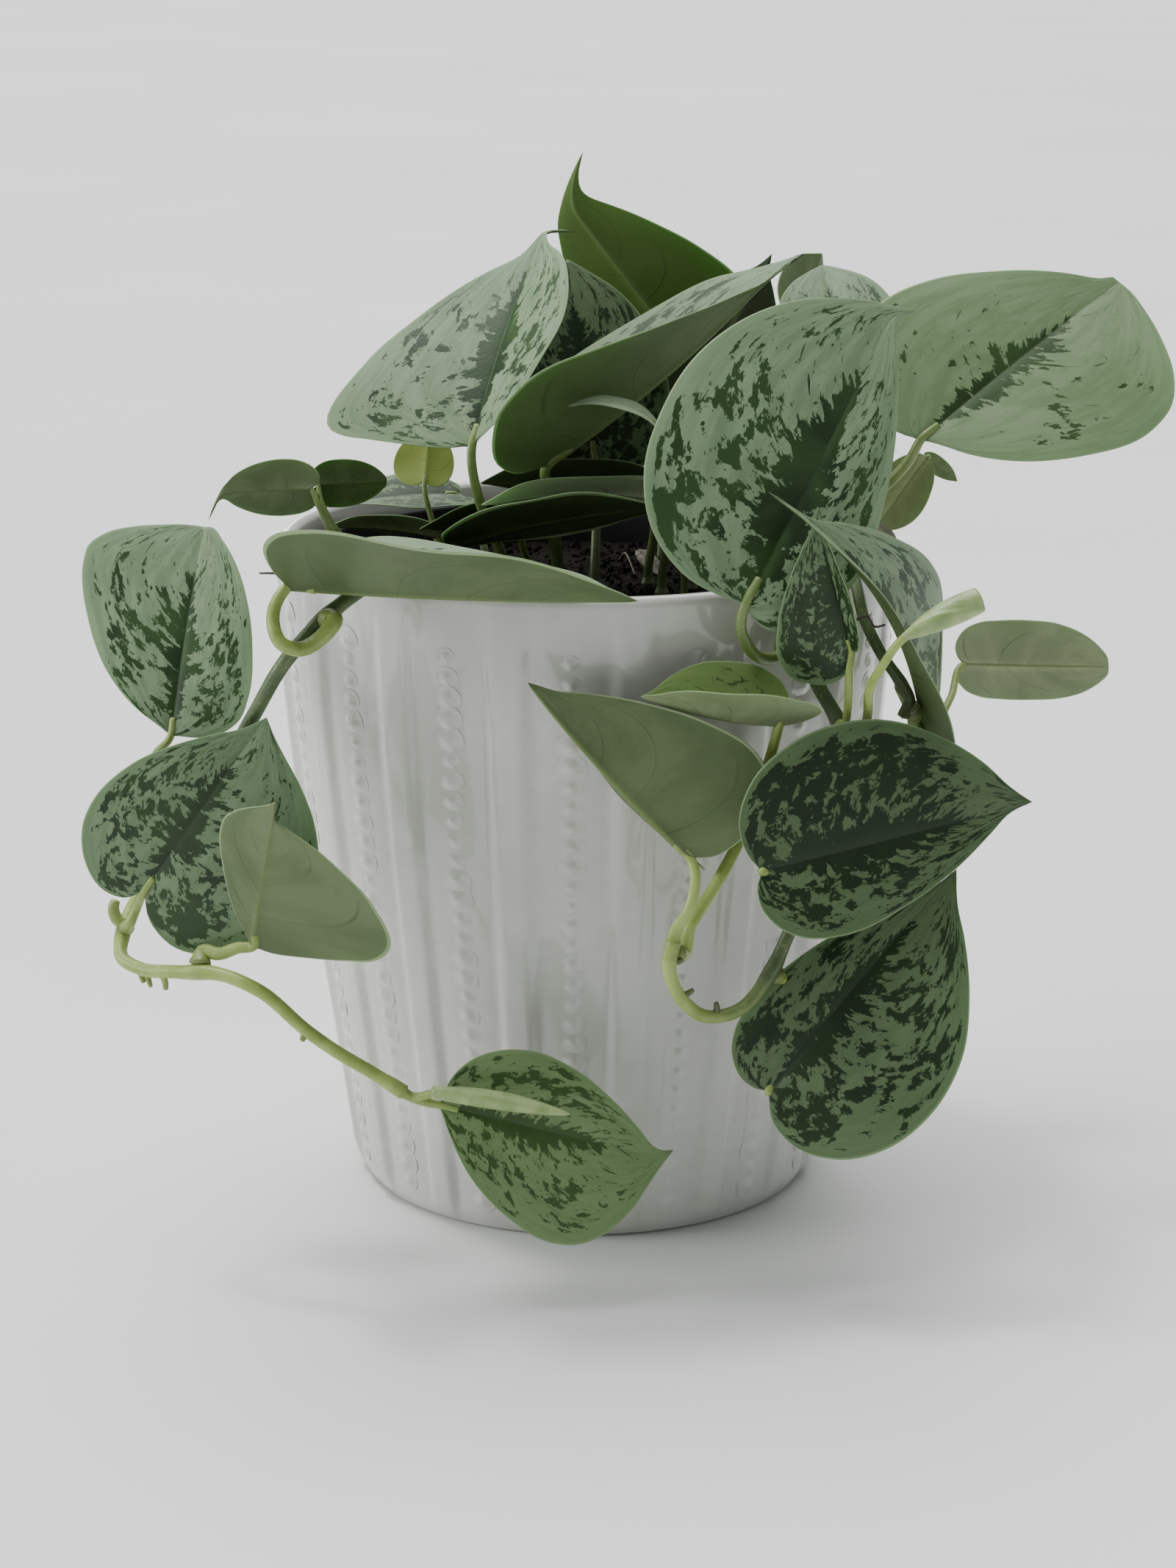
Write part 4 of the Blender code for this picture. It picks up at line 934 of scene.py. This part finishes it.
def tubeParts(path, radii, sides, groove=0.0):
    # a closed round tube with domed ends: points, faces, and the share of its length at each point
    shape = 1 - groove * np.maximum(np.cos(circleTurns(sides)), 0) ** 6
    rings, tangents = ringsAlong(path, radii, shape)
    ends = [path[0] - tangents[0] * radii[0] * domeShare, path[-1] + tangents[-1] * radii[-1] * domeShare]
    lengths = pathLengths(path)
    shares = np.append(np.repeat(lengths / lengths[-1], sides), (0.0, 1.0))
    return np.vstack([*rings, *ends]), ringFaces(len(path), sides), shares


# Leaves: a closed blade with an upper and a lower side, and its petiole.

def bladeGrid(leaf, rows, columns):
    # shares from the midrib to each margin, shares along it, distances from it, and the points
    spread = 0.5 * (1 - np.cos(pi * np.arange(columns + 1) / columns))
    signed = np.concatenate([-spread[:0:-1], spread])[None, :]
    halves = [halfOutline(rows + 1, **{key: bothHalves(leaf.get(key, usual))[half]
                                       for key, usual in plainOutline.items()}) for half in (0, 1)]
    along, out = (np.where(signed >= 0, *(half[part][:, None] for half in halves)) for part in (0, 1))
    middle = ((np.arange(rows + 1) / rows) ** 1.2)[:, None]
    along = middle + (along - middle) * np.abs(signed)
    across = out * signed
    along[0], along[-1] = 0, 1
    across[0], across[-1] = 0, 0
    return signed, middle, np.abs(across), leafPlace(leaf, along, across)


def bladeSides(seed, length, signed, middle, out, grid):
    # waves and quilting, then the upper and the lower side with the midrib's groove and ridge
    normals, share = gridNormals(grid), np.abs(signed)
    first, second = np.random.RandomState(int(seed * 10)).uniform(0, 2 * pi, 6)[:2]
    side = np.where(signed >= 0, 0.0, 1.7)
    flow = middle * (1 - share * (0.5 + 0.2 * share))
    slow, fast = leafDetail["waveTurns"]
    wave = np.sin(slow * middle + first + side) + 0.5 * np.sin(fast * middle + second + side * 2)
    fade = np.sin(pi * np.clip(middle * 1.1, 0, 1)) ** 0.5
    wave = share ** 1.5 * wave * leafDetail["wave"] * length * fade * min(length / 60, 1)
    quilt = leafDetail["quilt"] * np.sin(flow * veinTurns) * 4 * share * (1 - share) * min(length / 50, 1)
    grid = grid + normals * (wave + quilt)[..., None]
    normals = gridNormals(grid)
    size = min(length / 45, 1.0)
    ribWidth = leafDetail["ridgeWidth"] * (1.05 - 0.6 * middle)
    rib = size * np.exp(-(out * length / ribWidth) ** 2) * (1 - middle) ** 0.7
    margin = leafDetail["margin"]
    thick = margin + (leafDetail["middle"] * (0.6 + 0.4 * size) - margin) * (1 - share ** 3)
    return (grid + normals * (thick - leafDetail["groove"] * rib)[..., None],
            grid - normals * (thick + leafDetail["ridge"] * rib)[..., None])


def bladeParts(leaf, seed):
    # points, faces, the surface of each face, the leaf place of each corner, and the blade's length
    length = float(np.linalg.norm(np.subtract(leaf["tip"], leaf["base"])))
    small = length < leafDetail["smallLength"]
    rows, columns = leafDetail["smallGrid" if small else "grid"]
    signed, middle, out, grid = bladeGrid(leaf, rows, columns)
    top, bottom = bladeSides(seed, length, signed, middle, out, grid)
    wide = 2 * columns + 1
    layer = (rows - 1) * wide + 2

    def number(level, row, column):
        if row in (0, rows):
            return level * layer + (layer - 1 if row else 0)
        return level * layer + 1 + (row - 1) * wide + column

    points = np.vstack([part for level in (top, bottom)
                        for part in (level[0, :1], level[1:-1].reshape(-1, 3), level[-1, :1])])
    faces, surfaces, places = [], [], []
    u, v = 0.5 + 0.5 * signed[0], middle[:, 0]
    for row in range(rows):
        for column in range(wide - 1):
            ring = [(row, column), (row + 1, column), (row + 1, column + 1), (row, column + 1)]
            if row == 0:
                ring = [(0, column + 0.5), (1, column), (1, column + 1)]
            elif row == rows - 1:
                ring = [(row, column), (rows, column + 0.5), (row, column + 1)]
            for level, order in ((0, ring), (1, ring[::-1])):
                faces.append(tuple(number(level, r, int(c)) for r, c in order))
                places += [(np.interp(c, range(wide), u), v[r]) for r, c in order]
                surfaces.append(level)
        ring = [(0, row), (0, row + 1), (1, row + 1), (1, row)]
        for column, order in ((0, ring[::-1]), (wide - 1, ring)):
            faces.append(tuple(number(level, r, column) for level, r in order))
            places += [(u[column], v[r]) for level, r in order]
            surfaces.append(0)
    return points, faces, surfaces, places, length


def stalkPath(leaf):
    base = np.array(leaf["base"], float)
    points = [*footPoints(leaf), *leaf["petiole"][1:], base]
    arrive = unit(base - points[-2])
    inside = leafPlace(leaf, np.array([leafDetail["stalkReach"]]), np.array([0.0]))[0]
    if (inside - base) @ arrive < 0:
        inside = base + arrive
    return smoothPath([*points, inside], leafDetail["stalkSteps"])


def writeAttributes(piece, **named):
    for name, values in named.items():
        layer = piece.data.attributes.new(name, "FLOAT", "POINT")
        layer.data.foreach_set("value", np.broadcast_to(values, len(layer.data)).astype(np.float32))


def pieceName(node):
    words = node.split("_")
    return words[0] + "".join(word.capitalize() for word in words[1:])


def buildLeaf(node, leaf, seed, surfaces):
    inSoil = "on" not in leaf
    age = stalkAge["inSoil" if inSoil else "onVine"]
    looks = {**plainLooks, "seed": seed, "stalk": 1.0, "age": age, **leaf}
    points, faces, painted, places, length = bladeParts(leaf, looks["seed"])
    path = stalkPath(leaf)
    share = np.linspace(0, 1, len(path))
    radii = looks["stalk"] * (leafDetail["stalkRadius"] + leafDetail["stalkShare"] * length)
    radii = radii * (1 + (leafDetail["stalkTaper"] - 1) * share)
    if not leaf.get("inLine"):
        radii *= 1 + leafDetail["footFlare"] * np.exp(-(share / leafDetail["footLength"]) ** 2)
    tube, tubeFaces, shares = tubeParts(path, radii, leafDetail["stalkSides"], leafDetail["stalkGroove"])
    painted += [2] * len(tubeFaces)
    places += [(0.0, shares[corner]) for face in tubeFaces for corner in face]
    piece = meshObject(pieceName(node), np.vstack([points, tube]), faces + moved(tubeFaces, len(points)),
                       surfaces, painted)
    older = inSoil * (1 - looks["age"]) * np.exp(-(shares / 0.5) ** 2)
    blade = np.zeros(len(points))
    writeAttributes(piece, **{"leaf" + key.capitalize(): looks[key] for key in (*plainLooks, "seed")},
                    stemAge=np.append(blade, looks["age"] + older),
                    stemScar=np.append(blade, np.exp(-(shares / 0.03) ** 2) * 0.5))
    piece.data.uv_layers.new(name="leafPlace").data.foreach_set("uv", np.array(places, np.float32).ravel())
    return piece


def buildLeaves(stem):
    withered = patchySurface("witheredLeaf", (160.0, 4.0, 0.65), evenSplit,
                             ((0.09, 0.085, 0.05), (0.19, 0.165, 0.10)), (700.0, 4.0, 0.65), 0.6, 0.001,
                             Roughness=0.7)
    green = [satinUpper(), satinUnder(), stem]
    for index, (node, leaf) in enumerate(leafShapes.items()):
        dry = node == "leaf_withered"
        piece = buildLeaf(node, leaf, 5.3 + 1.7 * index, [withered] * 3 if dry else green)
        placed(piece, node)


# Vines, with swellings and scars at the joints and small spurs: the points of each, then its radius.
# oldEnd is the share of a vine's length where its brown, older stretch ends.

vineDetail = {
    "sides": 16, "steps": 9, "swelling": 0.18, "swellingLength": 2.6, "taper": 0.18,
    "spurLength": 0.75, "spurSteps": 4, "spurSides": 9, "spurAge": 0.7,
    "spurs": {
        "vine_left": [
            ([(-112, -87, 83), (-111.3, -87.8, 80.5), (-110.6, -88.2, 78.6)], 0.75),
            ([(-110.5, -88, 83), (-109.4, -88.8, 80), (-108.6, -89.5, 77.6)], 0.7),
            ([(-106, -92, 83.5), (-104.8, -92.5, 80.6), (-104.6, -92.8, 78)], 0.8),
            ([(-116, -77, 92), (-119, -77.5, 93), (-120.4, -78, 97.5), (-119.6, -78, 100)], 1.5),
            ([(-67, -82.5, 168.5), (-64.8, -85.3, 167.6), (-62.6, -86, 167.9)], 0.8),
            ([(-69.5, -104.5, 73.5), (-69.8, -105.5, 70.5), (-70.4, -105.8, 69.4)], 0.85),
        ],
        "vine_right": [
            ([(21, -110.8, 93), (23.2, -110.6, 92.6), (24.6, -110.4, 93.2)], 0.7),
            ([(24, -110.6, 84), (26, -110.8, 85), (27.2, -110.8, 86)], 0.7),
            ([(32, -108.5, 78.4), (32.4, -109, 81), (32.0, -109, 82.6)], 0.75),
            ([(45, -102.6, 85), (43.6, -103.5, 83.6), (42.4, -104, 84.2)], 0.7),
            ([(63.5, -81, 141.5), (64.6, -83.3, 143.4), (65.2, -84.4, 145)], 0.8),
        ],
        "vine_right_short": [
            ([(80.5, -68, 145), (83.4, -69.5, 146), (84.6, -70, 148.2)], 0.9),
        ],
    },
    "oldEnd": {"vine_left": 0.50, "vine_right": 0.85, "vine_right_short": 1.4},
}


def jointSwelling(path, node):
    # 1 beside each leaf that the vine carries, falling to 0 away from it
    swell = np.zeros(len(path))
    for leaf in [*leafShapes.values(), *rolledShapes.values()]:
        if leaf.get("on") == node:
            away = np.linalg.norm(path - footPoints(leaf)[0], axis=1) - vineShapes[node]["radius"]
            swell = np.maximum(swell, np.exp(-(np.maximum(away, 0) / vineDetail["swellingLength"]) ** 2))
    return swell


def buildVines(stem):
    for node, vine in vineShapes.items():
        path = vinePath(node, vineDetail["steps"])
        lengths, swell = pathLengths(path), jointSwelling(path, node)
        taper = 1 - vineDetail["taper"] * lengths / lengths[-1]
        radii = vine["radius"] * taper * (1 + vineDetail["swelling"] * swell)
        points, faces, shares = tubeParts(path, radii, vineDetail["sides"])
        scars = np.append(np.repeat(np.clip((swell - 0.86) * 5, 0, 0.2), vineDetail["sides"]), (0, 0))
        for spur, radius in vineDetail["spurs"][node]:
            spur = np.array(spur, float)
            line = smoothPath(spur[0] + (spur - spur[0]) * vineDetail["spurLength"], vineDetail["spurSteps"])
            radii = radius * (1.15 - 0.35 * np.linspace(0, 1, len(line)) ** 2)
            more, moreFaces, ends = tubeParts(line, radii, vineDetail["spurSides"])
            faces += moved(moreFaces, len(points))
            points = np.vstack([points, more])
            shares = np.append(shares, np.full(len(more), vineDetail["spurAge"]))
            scars = np.append(scars, np.clip(ends * 1.2 - 0.4, 0, 0.4))
        piece = meshObject(pieceName(node), points, faces, [stem])
        younger = np.clip((shares - vineDetail["oldEnd"][node] + 0.08) / 0.16, 0, 0.95)
        writeAttributes(piece, stemAge=1 - younger, stemScar=scars)
        placed(piece, node)


# Young leaves still rolled: a stalk and a roll with an overlapping edge. radii are the roll's at its
# base and its tip; a roll that widens ends in an open mouth, given by depths and shares of its edge.

rollDetail = {
    "sides": 40, "rows": 36, "lip": 0.16, "turns": 0.35, "bow": 0.02, "cap": 0.2, "age": 0.1,
    "stalkRadius": 1.15, "stalkSides": 12, "stalkSteps": 7, "stalkGroove": 0.1,
    "mouth": ((-0.3, 0.80), (-1.0, 0.74), (-3.0, 0.55)),
}


def rollParts(path, radii, openEnd):
    # a closed roll whose outer turn ends in a lip that winds slowly along it
    sides, cap = rollDetail["sides"], rollDetail["cap"]
    spiral = 1 + rollDetail["lip"] * (0.5 - np.arange(sides) / sides)
    spiral[-1] = (spiral[-2] + spiral[0]) / 2
    rings, tangents = ringsAlong(path, radii, spiral, 2 * pi * rollDetail["turns"])
    if openEnd:
        edge = rings[-1] - path[-1]
        rings += [path[-1] + tangents[-1] * inward + edge * shrink for inward, shrink in rollDetail["mouth"]]
    last = rings[-1].mean(axis=0) + tangents[-1] * (0 if openEnd else cap)
    return np.vstack([*rings, path[0] - tangents[0] * cap, last]), ringFaces(len(rings), sides)


def buildRolledLeaves(stem):
    young = patchySurface("youngLeaf", (220.0,), evenSplit, ((0.21, 0.30, 0.105), (0.30, 0.39, 0.165)),
                          (900.0, 2.0), 0.25, 0.0005, Roughness=0.42, Subsurface_Weight=0.2, **tissue)
    for node, leaf in rolledShapes.items():
        base, tip = np.array(leaf["base"], float), np.array(leaf["tip"], float)
        span = tip - base
        stalk = smoothPath([*footPoints(leaf), *leaf["petiole"][1:], base, base + span * 0.2],
                           rollDetail["stalkSteps"])
        stalkRadii = rollDetail["stalkRadius"] * np.linspace(1.15, 0.9, len(stalk))
        points, faces = tubeParts(stalk, stalkRadii, rollDetail["stalkSides"], rollDetail["stalkGroove"])[:2]
        t = np.linspace(0, 1, rollDetail["rows"])
        bow = unit(np.cross(span, (0, 1, 0))) * rollDetail["bow"] * np.linalg.norm(span)
        roll = base + (t[:, None] - 0.04) * span * 1.04 + np.sin(pi * t)[:, None] * bow
        first, last = leaf["radii"]
        if last > first:
            radii = 0.9 + (last - 0.9) * np.sin(pi / 2 * np.clip(t * 1.45, 0, 1))
            radii -= 0.25 * np.clip((t - 0.8) / 0.2, 0, 1)
        else:
            radii = 0.25 + (first - 0.25) * np.sin(pi * np.clip(0.16 + 0.84 * t, 0, 1)) ** 0.75
        more, moreFaces = rollParts(roll, radii, last > first)
        painted = [0] * len(faces) + [1] * len(moreFaces)
        faces += moved(moreFaces, len(points))
        piece = meshObject(pieceName(node), np.vstack([points, more]), faces, [stem, young], painted)
        writeAttributes(piece, stemAge=rollDetail["age"], stemScar=0.0)
        placed(piece, node)


stemSurface = stemGreen()
buildLeaves(stemSurface)
print("leaves made")
buildVines(stemSurface)
buildRolledLeaves(stemSurface)
print("vines and rolled leaves made")


# Loose bits on the soil, and dry twigs and roots: the points of each, then its radius.

deadLeafBit = dict(base=(20, 25, 161.5), tip=(14, 42, 163), face=(-0.3, -0.7, 0.6), wide=0.12, fold=30,
                   bend=-40, arch=0.1, seed=2.0)
drySticks = {
    "soilTwig": ([(9.5, 40, 161), (11, 30, 165), (13.5, 16, 162)], 0.35),
    "dryRootRight": ([(66.5, -77.5, 170.5), (69.5, -79.5, 172), (71.5, -80, 169.5), (74, -80, 170)], 0.45),
    "dryTwigLeft": ([(-72.5, -80, 181.5), (-76, -81.5, 183.2), (-80, -82, 183.4)], 0.4),
}


def buildBits():
    dry = patchySurface("dryStem", (500.0,), evenSplit, ((0.035, 0.028, 0.019), (0.095, 0.080, 0.058)),
                        (1600.0, 2.0), 0.4, 0.0004, Roughness=0.8)
    points, faces = bladeParts(deadLeafBit, deadLeafBit["seed"])[:2]
    placed(meshObject("deadLeafBit", points, faces, [dry]))
    for name, (line, radius) in drySticks.items():
        path = smoothPath(line, 6)
        points, faces = tubeParts(path, radius * (1 - 0.4 * np.linspace(0, 1, len(path))), 8)[:2]
        placed(meshObject(name, points, faces, [dry]))


buildBits()
print("loose bits made")


# Camera, floor and soft light. Of each lamp: the way to it, its strength and its spread in degrees.

cameraShape = {"place": (0.0, -0.965, 0.373), "pitch": 15.4, "focal": 5000.0, "wide": 1600, "tall": 2133,
               "middle": 796.5, "sensor": 36.0}
skyShape = {"Color": (0.80, 0.83, 0.84), "Strength": 0.46}
lampShapes = {
    "topBack": ((-0.15, 0.30, 1.0), 4.0, 60),
    "sideLeft": ((-1.0, -0.10, 0.35), 1.9, 30),
    "lowWindow": ((-0.2, 1.0, 0.28), 0.4, 25),
    "glint": ((-0.30, 0.12, 1.0), 0.9, 7),
}
floorReach = 20000.0


def buildStage():
    ground = patchySurface("paleFloor", (2.2,), (0.3, 0.7), ((0.665, 0.680, 0.660), (0.715, 0.730, 0.715)),
                           (60.0,), 0.05, 0.002, Roughness=0.8)
    corners = [(x * floorReach, y * floorReach, 0) for x, y in ((-1, -1), (1, -1), (1, 1), (-1, 1))]
    meshObject("paleFloor", corners, [(0, 1, 2, 3)], [ground])

    world = bpy.data.worlds.new("softSky")
    world.use_nodes = True
    bpy.context.scene.world = world
    feed(world.node_tree, [world.node_tree.nodes["Background"].inputs[key] for key in skyShape],
         skyShape.values())

    for name, (way, strength, spread) in lampShapes.items():
        lamp = bpy.data.lights.new(name, "SUN")
        lamp.energy = strength
        lamp.angle = radians(spread)
        holder = sceneObject(name, lamp)
        holder.rotation_mode = "QUATERNION"
        holder.rotation_quaternion = Vector(way).to_track_quat("Z", "Y")

    lens = bpy.data.cameras.new("photoCamera")
    lens.sensor_fit = "AUTO"
    lens.sensor_width = cameraShape["sensor"]
    lens.lens = cameraShape["focal"] / cameraShape["tall"] * cameraShape["sensor"]
    lens.shift_x = (cameraShape["wide"] / 2 - cameraShape["middle"]) / cameraShape["tall"]
    lens.clip_start, lens.clip_end = 0.05, 100.0
    camera = sceneObject("photoCamera", lens)
    camera.location = cameraShape["place"]
    camera.rotation_euler = (radians(90 - cameraShape["pitch"]), 0, 0)
    bpy.context.scene.camera = camera


buildStage()
print("stage made")
